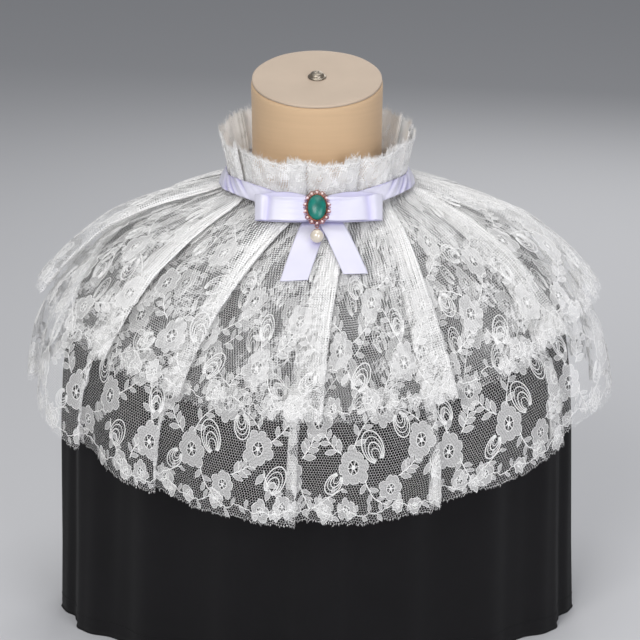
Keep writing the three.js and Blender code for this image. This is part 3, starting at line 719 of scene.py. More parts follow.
def ranged(tree, *inputs):
    """A value, its lowest and highest, and what they become; past them it stays."""
    return add(tree, "MapRange", inputs)


def noise(tree, place, scale, detail, out=0):
    """Fractal noise at a place: a value, or a colour as out 1."""
    return add(tree, "TexNoise", {"Vector": place, "Scale": scale, "Detail": detail}, out)


def finish_of(name, **sockets):
    """A new Principled material and its node tree; sockets hold values or set later."""
    made = bpy.data.materials.get(name) or bpy.data.materials.new(name)
    made.use_nodes = True
    tree = made.node_tree
    tree.nodes.clear()
    shader = tree.nodes.new("ShaderNodeBsdfPrincipled")
    output = tree.nodes.new("ShaderNodeOutputMaterial")
    tree.links.new(shader.outputs[0], output.inputs[0])
    for key, value in sockets.items():
        shader.inputs[key.replace("_", " ")].default_value = value
    return made, tree, shader


def drive(tree, shader, **sockets):
    """Links outputs to the shader's sockets."""
    for key, value in sockets.items():
        tree.links.new(value, shader.inputs[key.replace("_", " ")])


def bump(tree, height, distance, strength=1.0):
    """Surface normal from a height, with the height's real size in mm."""
    inputs = {"Strength": strength, "Distance": distance * MM, "Height": height}
    return add(tree, "Bump", inputs)


def cloth_uv(tree):
    return add(tree, "UVMap", uv_map="cloth")


def millimetres(tree):
    """Object coordinates in millimetres."""
    place = add(tree, "TexCoord", out=3)
    return vector(tree, "MULTIPLY", place, (1000, 1000, 1000))


def plain_weave(tree, place, scale, distortion):
    """Height of a plain weave: bands of warp and weft added up."""
    inputs = {"Vector": place, "Scale": scale, "Distortion": distortion}
    warp = add(tree, "TexWave", inputs, out=1)
    weft = add(tree, "TexWave", inputs, out=1, bands_direction="Z")
    return maths(tree, "ADD", warp, weft)


def tinted(tree, factor, dark, light):
    """A colour between two by a factor."""
    inputs = {0: factor, 6: dark, 7: light}
    return add(tree, "Mix", inputs, out=2, data_type="RGBA")


def shade(colour, factor):
    """A colour made darker or lighter."""
    return (*[min(c * factor, 1.0) for c in colour[:3]], 1.0)


def hexagon_distance(tree, uv, cell):
    """Distance from the middle of a hexagonal mesh, 0.5 at its sides, from UV in mm.

    Two shifted lattices of 1 by root 3 hold all the centres; the nearer one counts.
    """
    half = (0.5, 3**0.5 / 2, 0.5)
    back = tuple(-h for h in half)
    scaled = vector(tree, "MULTIPLY", uv, (1 / cell, 1 / cell, 0))
    shifted = vector(tree, "SUBTRACT", scaled, half)
    first = vector(tree, "WRAP", scaled, half, back)
    second = vector(tree, "WRAP", shifted, half, back)
    flat = (1.0, 1.0, 0.0)
    first = vector(tree, "MULTIPLY", first, flat)
    second = vector(tree, "MULTIPLY", second, flat)
    reach_1 = vector(tree, "LENGTH", first, out=1)
    reach_2 = vector(tree, "LENGTH", second, out=1)
    nearer = maths(tree, "LESS_THAN", reach_1, reach_2)
    inputs = {0: nearer, 4: second, 5: first}
    centre = add(tree, "Mix", inputs, out=1, data_type="VECTOR")
    away = vector(tree, "ABSOLUTE", centre)
    slanted = vector(tree, "DOT_PRODUCT", away, half, out=1)
    upright = add(tree, "SeparateXYZ", (away,))
    return maths(tree, "MAXIMUM", slanted, upright)


# ------------------------------------------------------------------ materials


def lace_net(name="cotton bobbinet", streaks=(0.42, 0.014), closing=(0.0, 0.24), filled=0.0):
    """Cotton bobbinet: six-sided meshes of fine matt thread, white from the many fibres.

    Where the net is gathered its meshes close, so its threads are drawn wider there, and
    soft at their edges, as meshes that lie askew over each other look from afar. A filled
    net has patches of brides: thicker threads round small uneven holes, some worked full.
    """
    tone = colours().lace
    made, tree, shader = finish_of(
        name, Base_Color=tuple(tone), Roughness=0.85, Sheen_Weight=0.25
    )
    uv = cloth_uv(tree)
    across = add(tree, "Attribute", out=2, attribute_name="mesh")
    down = add(tree, "SeparateXYZ", (uv,), out=1)
    laid = add(tree, "CombineXYZ", (across, down))
    wobble = noise(tree, laid, 0.05, 2.0, out=1)
    moved = vector(tree, "MULTIPLY_ADD", wobble, (2.5, 2.5, 0), laid)
    far = hexagon_distance(tree, moved, sizes().net_cell)
    drawn = add(tree, "Attribute", out=2, attribute_name="gather")
    streak_uv = vector(tree, "MULTIPLY", uv, (*streaks, 0))
    streak = noise(tree, streak_uv, 1.0, 3.0)
    closing = ranged(tree, streak, 0.36, 0.64, *closing)
    spread = maths(tree, "MULTIPLY", drawn, closing)
    half = sizes().net_thread / sizes().net_cell / 2
    thread = maths(tree, "ADD", spread, half)
    edge = maths(tree, "SUBTRACT", 0.5, thread)
    soft = maths(tree, "MULTIPLY_ADD", drawn, 0.05, 0.012)
    inner = maths(tree, "SUBTRACT", edge, soft)
    outer = maths(tree, "ADD", edge, soft)
    cover = ranged(tree, far, inner, outer, 0.0, 1.0)
    if filled:
        cover = maths(tree, "MAXIMUM", cover, brides(tree, moved, filled))
    drive(tree, shader, Alpha=cover)
    return made


def brides(tree, uv, amount):
    """Cover of the filled patches: cell walls 0.5 mm wide, and one cell in four worked."""
    cell = 3.6
    wide = vector(tree, "MULTIPLY", uv, (1 / cell, 0.7 / cell, 0))
    inputs = {"Vector": wide, "Scale": 1.0}
    wall = add(tree, "TexVoronoi", inputs, out=0, feature="DISTANCE_TO_EDGE")
    shade_of_cell = add(tree, "TexVoronoi", inputs, out=1, feature="F1")
    lines = ranged(tree, wall, 0.05, 0.1, 0.8, 0.0)
    worked = add(tree, "SeparateXYZ", (shade_of_cell,))
    worked = ranged(tree, worked, 0.74, 0.78, 0.0, 0.35)
    both = maths(tree, "MAXIMUM", lines, worked)
    patch = noise(tree, uv, 0.04, 3.0)
    patch = ranged(tree, patch, 0.47, 0.55, 0.0, amount)
    strip = add(tree, "Attribute", out=2, attribute_name="strip")
    beside = ranged(tree, strip, 0.2, 0.8, 1.0, 0.15)
    patch = maths(tree, "MULTIPLY", patch, beside)
    return maths(tree, "MULTIPLY", both, patch)


def cloth_work():
    """Cotton cloth-work: petals filled with close rows of thread, open enough to see through."""
    tone = colours().lace
    made, tree, shader = finish_of(
        "cotton cloth-work", Base_Color=tuple(tone), Roughness=0.85, Sheen_Weight=0.25
    )
    uv = cloth_uv(tree)
    inputs = {"Vector": uv, "Scale": 0.62 / 2, "Distortion": 0.6, "Detail": 1.0}
    rows = add(tree, "TexWave", inputs, out=1, wave_type="BANDS", bands_direction="Y")
    speck = noise(tree, uv, 0.9, 2.0)
    both = maths(tree, "MULTIPLY", rows, speck)
    cover = ranged(tree, both, 0.0, 0.5, 0.2, 0.64)
    drive(tree, shader, Alpha=cover, Normal=bump(tree, rows, 0.15))
    return made


def gimp_cord():
    """Cotton gimp: a thicker twisted thread that outlines the pattern, solid and bright."""
    tone = colours().lace
    made, tree, shader = finish_of(
        "cotton gimp", Base_Color=tuple(tone), Roughness=0.8, Sheen_Weight=0.2
    )
    uv = cloth_uv(tree)
    twist = noise(tree, uv, 1.6, 1.0)
    cover = ranged(tree, twist, 0.25, 0.6, 0.4, 0.94)
    drive(tree, shader, Alpha=cover, Normal=bump(tree, twist, 0.2))
    return made


def satin_ribbon():
    """Woven polyester satin: long floats give a soft sheen that runs across the ribbon. Its colour
    also holds painted shade: lavender where the crease field is high, and darker lavender where
    ambient occlusion finds hollows and undersides.
    """
    tone = colours().satin
    made, tree, shader = finish_of(
        "polyester satin with painted shade", Roughness=0.36, Sheen_Weight=0.2, Anisotropic=0.5, Specular_IOR_Level=0.5
    )
    uv = cloth_uv(tree)
    ribs = add(tree, "TexWave", {"Vector": uv, "Scale": 0.62, "Distortion": 0.4}, out=1)
    cloud = noise(tree, uv, 0.045, 2.0)
    pale = ranged(tree, cloud, 0.35, 0.65, 0.0, 1.0)
    tint = tinted(tree, pale, shade(tone, 0.95), tuple(tone))
    # Painted shade: the crease field, set only on the bow loop, tints the satin lavender in its
    # hollows and inside the loop.
    crease = add(tree, "Attribute", out=2, attribute_name="crease")
    tint = tinted(tree, crease, tint, linear(0xC6C2E0))
    # Painted shade: ambient occlusion within 8 mm darkens the colour towards deep lavender in
    # hollows, between layers and under edges.
    hollow = add(tree, "AmbientOcclusion", {"Distance": 8 * MM}, out=1)
    deep = ranged(tree, hollow, 0.4, 0.95, 0.0, 1.0)
    tint = tinted(tree, deep, linear(0xAEA9D4), tint)
    drive(tree, shader, Base_Color=tint, Normal=bump(tree, ribs, 0.03, 0.6))
    return made


def black_cotton():
    """Plain-woven black cotton: matt, with a faint bloom of fibres in soft clouds."""
    tone = colours().cover
    made, tree, shader = finish_of(
        "black cotton", Roughness=0.95, Sheen_Weight=0.05, Specular_IOR_Level=0.25
    )
    place = millimetres(tree)
    weave = plain_weave(tree, place, 0.5, 0.8)
    cloud = noise(tree, place, 0.02, 3.0)
    tint = tinted(tree, cloud, shade(tone, 0.8), shade(tone, 1.5))
    drive(tree, shader, Base_Color=tint, Normal=bump(tree, weave, 0.2, 0.6))
    return made


def natural_linen():
    """Fine natural linen stretched over the neck block: plain weave with slubs, matt."""
    tone = colours().linen
    made, tree, shader = finish_of("natural linen", Roughness=0.88, Sheen_Weight=0.15)
    place = millimetres(tree)
    weave = plain_weave(tree, place, 0.45, 1.2)
    long = vector(tree, "MULTIPLY", place, (0.02, 0.02, 0.4))
    slubs = noise(tree, long, 1.0, 3.0)
    cloud = noise(tree, place, 0.018, 3.0)
    both = maths(tree, "ADD", slubs, cloud)
    factor = ranged(tree, both, 0.7, 1.3, 0.0, 1.0)
    tint = tinted(tree, factor, shade(tone, 0.96), shade(tone, 1.03))
    drive(tree, shader, Base_Color=tint, Normal=bump(tree, weave, 0.12, 0.5))
    return made


def calico_board():
    """Calico over board on top of the neck: flatter and paler than the sides."""
    tone = colours().board
    made, tree, shader = finish_of("calico board", Roughness=0.8, Sheen_Weight=0.1)
    place = millimetres(tree)
    cloud = noise(tree, place, 0.03, 4.0)
    grain = noise(tree, place, 1.2, 2.0)
    tint = tinted(tree, cloud, shade(tone, 0.9), shade(tone, 1.08))
    drive(tree, shader, Base_Color=tint, Normal=bump(tree, grain, 0.1, 0.5))
    return made


def dull_steel():
    """Plated steel, turned and handled: dull with darker soiling."""
    made, tree, shader = finish_of("plated steel", Metallic=1.0)
    place = millimetres(tree)
    cloud = noise(tree, place, 0.35, 4.0)
    rough = ranged(tree, cloud, 0.3, 0.7, 0.28, 0.5)
    tint = tinted(tree, cloud, linear(0x6E655A), linear(0xB5AB9C))
    drive(tree, shader, Base_Color=tint, Roughness=rough)
    return made


def rose_gold():
    """Rose-gold plating over cast brass: polished on the high places, darker in the hollows."""
    tone = colours().gilt
    made, tree, shader = finish_of("rose-gold plating", Metallic=1.0)
    place = millimetres(tree)
    cloud = noise(tree, place, 0.5, 4.0)
    rough = ranged(tree, cloud, 0.3, 0.7, 0.2, 0.38)
    hollow = add(tree, "AmbientOcclusion", {"Distance": 1.2 * MM}, out=1)
    tint = tinted(tree, hollow, shade(tone, 0.35), tuple(tone))
    drive(tree, shader, Base_Color=tint, Roughness=rough)
    return made


def pressed_glass():
    """Polished green glass cabochon, clouded like chrysoprase, with a hard clear gloss."""
    tone = colours().stone
    made, tree, shader = finish_of(
        "green cabochon glass", Roughness=0.33, IOR=1.5, Coat_Weight=0.08, Coat_Roughness=0.1
    )
    place = millimetres(tree)
    cloud = noise(tree, place, 0.14, 3.0)
    factor = ranged(tree, cloud, 0.35, 0.65, 0.0, 1.0)
    tint = tinted(tree, factor, shade(tone, 0.75), shade(tone, 1.35))
    drive(tree, shader, Base_Color=tint)
    return made


def clear_crystal():
    """Small pale rhinestones with a pink-white gleam."""
    made, _, _ = finish_of(
        "pale rhinestone", Base_Color=linear(0xF3D9D2), Roughness=0.1, Coat_Weight=1.0
    )
    return made


def pearl_lustre():
    """Imitation pearl: ivory lacquer with a soft clear coat over a faintly uneven glow."""
    tone = colours().pearl
    made, tree, shader = finish_of(
        "pearl lacquer", Roughness=0.12, Coat_Weight=1.0, Coat_Roughness=0.04, IOR=1.9
    )
    place = millimetres(tree)
    cloud = noise(tree, place, 0.2, 2.0)
    tint = tinted(tree, cloud, shade(tone, 0.86), shade(tone, 1.06))
    drive(tree, shader, Base_Color=tint)
    return made


def studio_floor():
    """Plain painted floor, matt."""
    made, _, _ = finish_of(
        "matt studio paint", Base_Color=tuple(colours().floor), Roughness=0.9
    )
    return made


# ------------------------------------------------------------------ bow and brooch frame

BOW_TILT = np.radians(30)  # how far the bow leans back from upright
BOW_OUT, BOW_DROP = 78.1, 12.3  # the bow's middle, out from the axis and below the ring
BOW_LEFT, BOW_RIGHT = 54.0, 57.0
BOW_REACH = 55.0  # the loop's mean reach to one side
BOW_BEND = 170.0  # radius of the bow's bend round the chest
DOWN = np.array([0, -np.sin(BOW_TILT), -np.cos(BOW_TILT)])
OUT = np.array([0, -np.cos(BOW_TILT), np.sin(BOW_TILT)])
RIGHT, UP = np.array([1.0, 0, 0]), -DOWN
STONE_WIDTH, STONE_HEIGHT, STONE_DOME = 8.05, 11.3, 4.6
PLATE_BACK, PLATE = 5.4, 1.2
RIM_WIDTH, RIM_HEIGHT = STONE_WIDTH + 2.3, STONE_HEIGHT + 2.7
RIM_LOOPS, LOOP_RADIUS = 14, 2.1
RIM_RING, RIM_WIRE = 1.8, 0.33
CRYSTAL_RADIUS, JOINT_RADIUS = 1.05, 0.5
PEARL_RADIUS = 5.9
HANG_TILT = np.radians(60)  # how far the drop leans out from the vertical, on the chest
HANG = np.array([0, -np.sin(HANG_TILT), -np.cos(HANG_TILT)])
HANG_OUT = np.array([0, -np.cos(HANG_TILT), np.sin(HANG_TILT)])
RING_PLAY = 0.22
# Radius and wire of the three linked rings; they are drawn a trace finer than their play.
FIXED_LOOP, JUMP_RING, EYE = (1.6, 0.4), (1.9, 0.35), (1.5, 0.35)
LOOP_WIRE, RING_WIRE = 0.38, 0.34


def bow_point(x, down, out):
    """The bow's frame: x across, down along it and out from the chest, bent round it."""
    x, down, out = np.broadcast_arrays(*(np.asarray(v, dtype=float) for v in (x, down, out)))
    origin = np.array([0, -BOW_OUT, RING_Z - BOW_DROP])
    flat = np.stack([x, x * x / (2 * BOW_BEND), 0 * x], axis=-1)
    return origin + flat + down[..., None] * DOWN + out[..., None] * OUT


def crossing(first, second):
    """Distance between the centres of two linked rings that hang with a little play."""
    return first[0] + second[0] - first[1] - second[1] - RING_PLAY


LOOP_CENTRE = bow_point(0, RIM_HEIGHT + LOOP_RADIUS + 0.9, PLATE_BACK + PLATE / 2)
LINK_CENTRE = LOOP_CENTRE + HANG * crossing(FIXED_LOOP, JUMP_RING)
EYE_CENTRE = LINK_CENTRE + HANG * crossing(JUMP_RING, EYE)
PEARL_CENTRE = EYE_CENTRE + HANG * (EYE[0] * 0.75 + PEARL_RADIUS)


def ring_points(centre, across, up, radii, wire, steps, sides=10, twist=0.0):
    """A torus: a circle or oval carried round a wire of round section."""
    a = np.linspace(0, 2 * np.pi, steps, endpoint=False)[:, None]
    b = np.linspace(0, 2 * np.pi, sides, endpoint=False)[None]
    wide, tall = radii
    out = np.cross(across, up)
    radial = np.cos(a)[..., None] * across + np.sin(a)[..., None] * up
    line = centre + wide * np.cos(a)[..., None] * across + tall * np.sin(a)[..., None] * up
    swell = wire * (1 + twist * np.sin(steps / 3 * a + b))
    return line + swell[..., None] * (np.cos(b)[..., None] * radial + np.sin(b)[..., None] * out)


def torus_quads(steps, sides):
    """Quads of a closed grid of rings."""
    i, j = np.meshgrid(np.arange(steps), np.arange(sides), indexing="ij")
    k, m = (i + 1) % steps, (j + 1) % sides
    corners = (i * sides + j, k * sides + j, k * sides + m, i * sides + m)
    return np.stack(corners, axis=-1).reshape(-1, 4)


def globe(centre, axis_x, axis_y, axis_z, rows, columns, start=0.0, end=np.pi):
    """A ball or dome on three half axes, its rows from the pole at the end of axis_z."""
    a = np.linspace(start, end, rows)[:, None, None]
    b = np.linspace(0, 2 * np.pi, columns, endpoint=False)[None, :, None]
    level = np.sin(a) * (np.cos(b) * axis_x + np.sin(b) * axis_y)
    return centre + level + np.cos(a) * axis_z


def capped(points):
    """A closed skin from rings of points: quads between them and a face at each end."""
    rows, columns = points.shape[:2]
    last = (rows - 1) * columns
    faces = grid_quads(rows, columns, closed=True).tolist()
    ends = [list(range(columns)), [last + j for j in reversed(range(columns))]]
    return points.reshape(-1, 3), faces + ends


class Parts(Gathered):
    """Closed shapes in the frame's millimetres."""

    def take(self, points, faces, slot=0):
        points = points.reshape(-1, 3)
        self.points.append(points)
        self.faces.extend([[i + self.count for i in face] for face in faces])
        self.slots.extend([slot] * len(faces))
        self.count += len(points)

    def ring(self, centre, across, up, radii, wire, steps, sides=10, twist=0.0):
        points = ring_points(centre, across, up, radii, wire, steps, sides, twist)
        self.take(points, torus_quads(steps, sides).tolist())

    def bead(self, centre, radius, slot=0, rows=7, columns=12):
        axes = np.eye(3) * radius
        points = globe(centre, *axes, rows, columns, 0.25, np.pi - 0.25)
        self.take(*capped(points), slot)

    def piece(self, name, materials, body="root", slot=None):
        made = new_piece(
            name, np.concatenate(self.points), self.faces, materials, self.slots, body=body
        )
        outward(made)
        return made


def outward(piece):
    """Turns a closed piece's faces to point out."""
    shape = bmesh.new()
    shape.from_mesh(piece.data)
    bmesh.ops.recalc_face_normals(shape, faces=shape.faces)
    shape.to_mesh(piece.data)
    shape.free()


def skin(name, rings, material, node, body="root"):
    """A closed skin from rings of points that replaces a node."""
    points, faces = capped(rings)
    piece = new_piece(name, points, faces, [material], body=body)
    outward(piece)
    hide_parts(node)
    return piece


def ribbon(name, grid, uv, material, node, crease=None, thickness=0.35):
    """A satin ribbon from a grid of mid-points: a thin closed strip that replaces a node."""
    rows, columns = grid.shape[:2]
    # crease: how much painted lavender shade the satin gets at each point, none unless given.
    crease = np.zeros((rows, columns)) if crease is None else crease
    closed = bool(np.allclose(grid[:, 0], grid[:, -1]))
    if closed:
        grid, uv, crease = grid[:, :-1], uv[:, :-1], crease[:, :-1]
        columns -= 1
    faces = grid_quads(rows, columns, closed).tolist()
    piece = new_piece(name, grid, faces, [material], None, uv, {"crease": crease})
    wall = piece.modifiers.new("thickness", "SOLIDIFY")
    wall.thickness = thickness * MM
    wall.offset = 0
    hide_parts(node)
    return piece


# ------------------------------------------------------------------ operators


class PieceOperator:
    """What every operator here shares."""

    bl_options = {"REGISTER", "UNDO"}


class COLLAR_OT_form(PieceOperator, bpy.types.Operator):
    """Builds the covered bust, the linen neck block, its board top and its pin"""

    bl_idname = "collar.form"
    bl_label = "Dress form"

    def execute(self, context):
        self.bust()
        self.neck()
        return {"FINISHED"}

    def bust(self):
        """Rings of the form's profile, whose black cover hangs from the shoulders in folds.

        The folds stand out by cos(17 a + 0.8 sin 3 a), deeper down to the hem.
        """
        cotton = black_cotton()
        s = np.concatenate([[0.0, 0.25, 0.6], np.linspace(1, 12, 122)])[:, None]
        a = np.linspace(0, 2 * np.pi, 36 * COVER_FOLDS, endpoint=False)[None]
        rings = self.cover(*np.broadcast_arrays(a, s))
        foot = rings[-1:] * np.array([0.985, 0.985, 1])
        rings = np.concatenate([rings, foot])
        skin("bust_cover", rings, cotton, "form_body")

        parts = Parts()
        a = np.linspace(0, 2 * np.pi, 24 * COVER_FOLDS, endpoint=False)
        for height, wire in ((14.0, 0.45), (0.9, 0.8)):
            line = self.cover(a, np.full_like(a, 12 - height / 65))
            radial = np.stack([np.sin(a), -np.cos(a), 0 * a], axis=-1)[:, None]
            b = np.linspace(0, 2 * np.pi, 6, endpoint=False)[None, :, None]
            tube = line[:, None] + wire * (np.cos(b) * radial + np.sin(b) * np.array([0, 0, 1.0]))
            parts.take(tube, torus_quads(len(a), 6).tolist())
        parts.piece("bust_hem", [cotton], slot="jersey")

    def cover(self, a, s):
        """The cover's surface at azimuth a and row s."""
        fold = COVER_FOLD_DEPTH * np.cos(COVER_FOLDS * a + 0.8 * np.sin(3 * a))
        crease = 0.7 * np.sin(41 * a + 2 * np.sin(5 * a) + 0.4 * s)
        depth = (fold + crease) * smooth(s, 5, 9)
        radial = np.stack([np.sin(a), -np.cos(a), 0 * a], axis=-1)
        return drape(FORM, a, s, straight) + radial * depth[..., None]

    def neck(self):
        """An oblique drum: rings slide forward and tip with height; its rims are rounded."""
        foot_y, foot_z, top_y, top_z, lean = 6.4, -14.0, -19.0, 94.0, np.radians(16)
        tip = np.tan(lean)
        wide, deep = 58.5, 56.0
        a = np.linspace(0, 2 * np.pi, 128, endpoint=False)[None]
        f = np.concatenate([[0, 0.01], np.linspace(0.04, 0.93, 34), [0.955, 0.97, 0.974]])[:, None]
        inset = np.concatenate([[1.5, 0.2], np.zeros(34), [0.25, 0.9, 2.6]])[:, None]
        belly = -0.5 * np.sin(np.pi * f) + 0.25 * waves(a * 57.3, (120, 72), 5) * np.sin(np.pi * f)
        x = (wide - inset + belly) * np.sin(a)
        y = -(deep - inset + belly) * np.cos(a)
        z = RING_Z + mix(foot_z, top_z, f) + tip * f * y
        block = np.stack(np.broadcast_arrays(x, mix(foot_y, top_y, f) + y, z), axis=-1)
        skin("neck_linen", block, natural_linen(), "form_neck")

        rise = np.array([-2.2, -0.6, -0.1, 0.0, 0.0])[:, None]
        shrink = np.array([1.0, 1.0, 1.6, 3.0, 8.0])[:, None]
        x = (wide - shrink) * np.sin(a)
        y = -(deep - shrink) * np.cos(a)
        z = RING_Z + top_z + tip * y + rise + 0.12 * waves(a * 57.3, (60, 36), 9)
        board = np.stack(np.broadcast_arrays(x, top_y + y, z), axis=-1)
        skin("neck_board", board, calico_board(), "form_neck_cap")

        profile = np.array([
            [7.4, 0], [8.1, 0.2], [8.2, 0.7], [7.6, 1.1], [6.6, 1.2], [6.3, 1.6], [6.2, 2.4],
            [5.8, 3.3], [4.9, 4.1], [3.6, 4.6], [2.0, 4.8], [1.2, 4.7], [0.9, 4.2],
        ])
        b = np.linspace(0, 2 * np.pi, 40, endpoint=False)[None]
        x = profile[:, :1] * np.cos(b)
        y = profile[:, :1] * np.sin(b)
        height = np.broadcast_to(profile[:, 1:] + 0.3, x.shape)
        turned = np.stack([
            x,
            top_y + y * np.cos(lean) - height * np.sin(lean),
            RING_Z + top_z + y * np.sin(lean) + height * np.cos(lean),
        ], axis=-1)
        skin("neck_pin", turned, dull_steel(), "form_neck_pin")


class COLLAR_OT_tiers(PieceOperator, bpy.types.Operator):
    """Builds the two pleated lace tiers with their ornament"""

    bl_idname = "collar.tiers"
    bl_label = "Lace tiers"

    def execute(self, context):
        open_net, filled_net = lace_net(), lace_net("filled bobbinet", filled=0.62)
        scallop = sizes().scallop_depth
        lower = Cloth(
            DRAPE, LOWER_RELIEF, sizes().lower_length, True, True, seed=11, ripple=0.35
        )
        upper = Cloth(
            DRAPE, UPPER_RELIEF, sizes().upper_length, False, True, seed=23, ripple=0.8
        )
        self.tier(
            "lower_tier", "cape_lower", lower, 84, 0.0, scallop, (0.06, 0.05), open_net,
            ["bust_cover"],
        )
        self.tier(
            "upper_tier", "cape_upper", upper, 80, 0.37, 1.5 * scallop, (0.3, 1.6), filled_net,
            ["lower_tier_net"],
        )
        return {"FINISHED"}

    def tier(self, name, node, cloth, rows, shift, depth, closing, net, under):
        """One tier's net with the flowers, sprigs and border that lie on it.

        The pattern is shifted by a share of its repeat. closing says how far the net's
        meshes close by gathering and along the folds.
        """
        drawn, folded = closing
        sheet = net_sheet(
            name + "_net", cloth, rows, NET_COLUMNS, depth, net, drawn=drawn, folded=folded
        )
        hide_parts(node)
        finish = [cloth_work(), gimp_cord()]
        pitch = cloth.width / TILES
        for part, flowers in (("flowers", True), ("sprigs", False)):
            pattern = field(pitch, cloth.length, flowers)
            points, faces, slots = pattern.repeated(pitch, TILES + 2)
            points = points - np.array([(1 + shift) * pitch, 0, 0])
            lay(f"{name}_{part}", cloth, points, faces, slots, finish, depth)
        edge = border(cloth.width, sizes().scallops, seed=len(name))
        lay(name + "_border", cloth, *edge.repeated(0, 1), finish, depth)


class COLLAR_OT_heading(PieceOperator, bpy.types.Operator):
    """Builds the standing lace heading above the neckband"""

    bl_idname = "collar.heading"
    bl_label = "Standing heading"

    def execute(self, context):
        height = sizes().heading_height
        cloth = Cloth(HEADING, HEADING_RELIEF, height, False, False, seed=37, ripple=0.6)
        net = lace_net("doubled bobbinet", streaks=(0.1, 0.07), closing=(0.07, 0.2))
        finish = [cloth_work(), gimp_cord()]
        sheet = net_sheet("heading_net", cloth, 26, NET_COLUMNS, HEADING_CUT, net, dense=1.8)
        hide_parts("neck_frill")
        drawn = Ornament()
        pitch = 56.0
        drawn.flower(13, 14, 10.5, 8, 0.3)
        drawn.flower(41, 17, 11.0, 8, 0.0)
        drawn.flower(27, 33, 8.5, 7, 0.5)
        drawn.shell(4, 33, 10, 6, 1.3)
        drawn.sprig((20, 22), (30, 24), (38, 30), leaves=5, length=7)
        drawn.sprig((48, 26), (52, 34), (50, 42), leaves=5, length=7)
        drawn.sprig((8, 5), (24, 9), (34, 5), leaves=6, length=6)
        drawn.sprig((36, 6), (50, 3), (60, 8), leaves=6, length=6)
        repeat = drawn.repeated(pitch, int(cloth.width / pitch) + 1)
        flowers = lay("heading_flowers", cloth, *repeat, finish, HEADING_CUT, face=-1.0)
        edge = Ornament()
        edge.lashes(cloth.width, 0.62, (2.5, 8.5), seed=41, lean=0.5, thick=(0.45, 0.8))
        edge.lashes(cloth.width, 0.5, (0.8, 5.0), seed=43, lean=0.8, thick=(0.4, 0.7))
        x = np.arange(0, cloth.width, 1.6)
        ragged = 1.4 + 1.6 * waves(x, (9.0, 5.2, 14.0), 47)
        edge.cord(np.column_stack([x, ragged]), 1.1, crest=0.8)
        repeat = edge.repeated(0, 1)
        fringe = lay("heading_fringe", cloth, *repeat, finish, HEADING_CUT, face=-1.0)
        return {"FINISHED"}


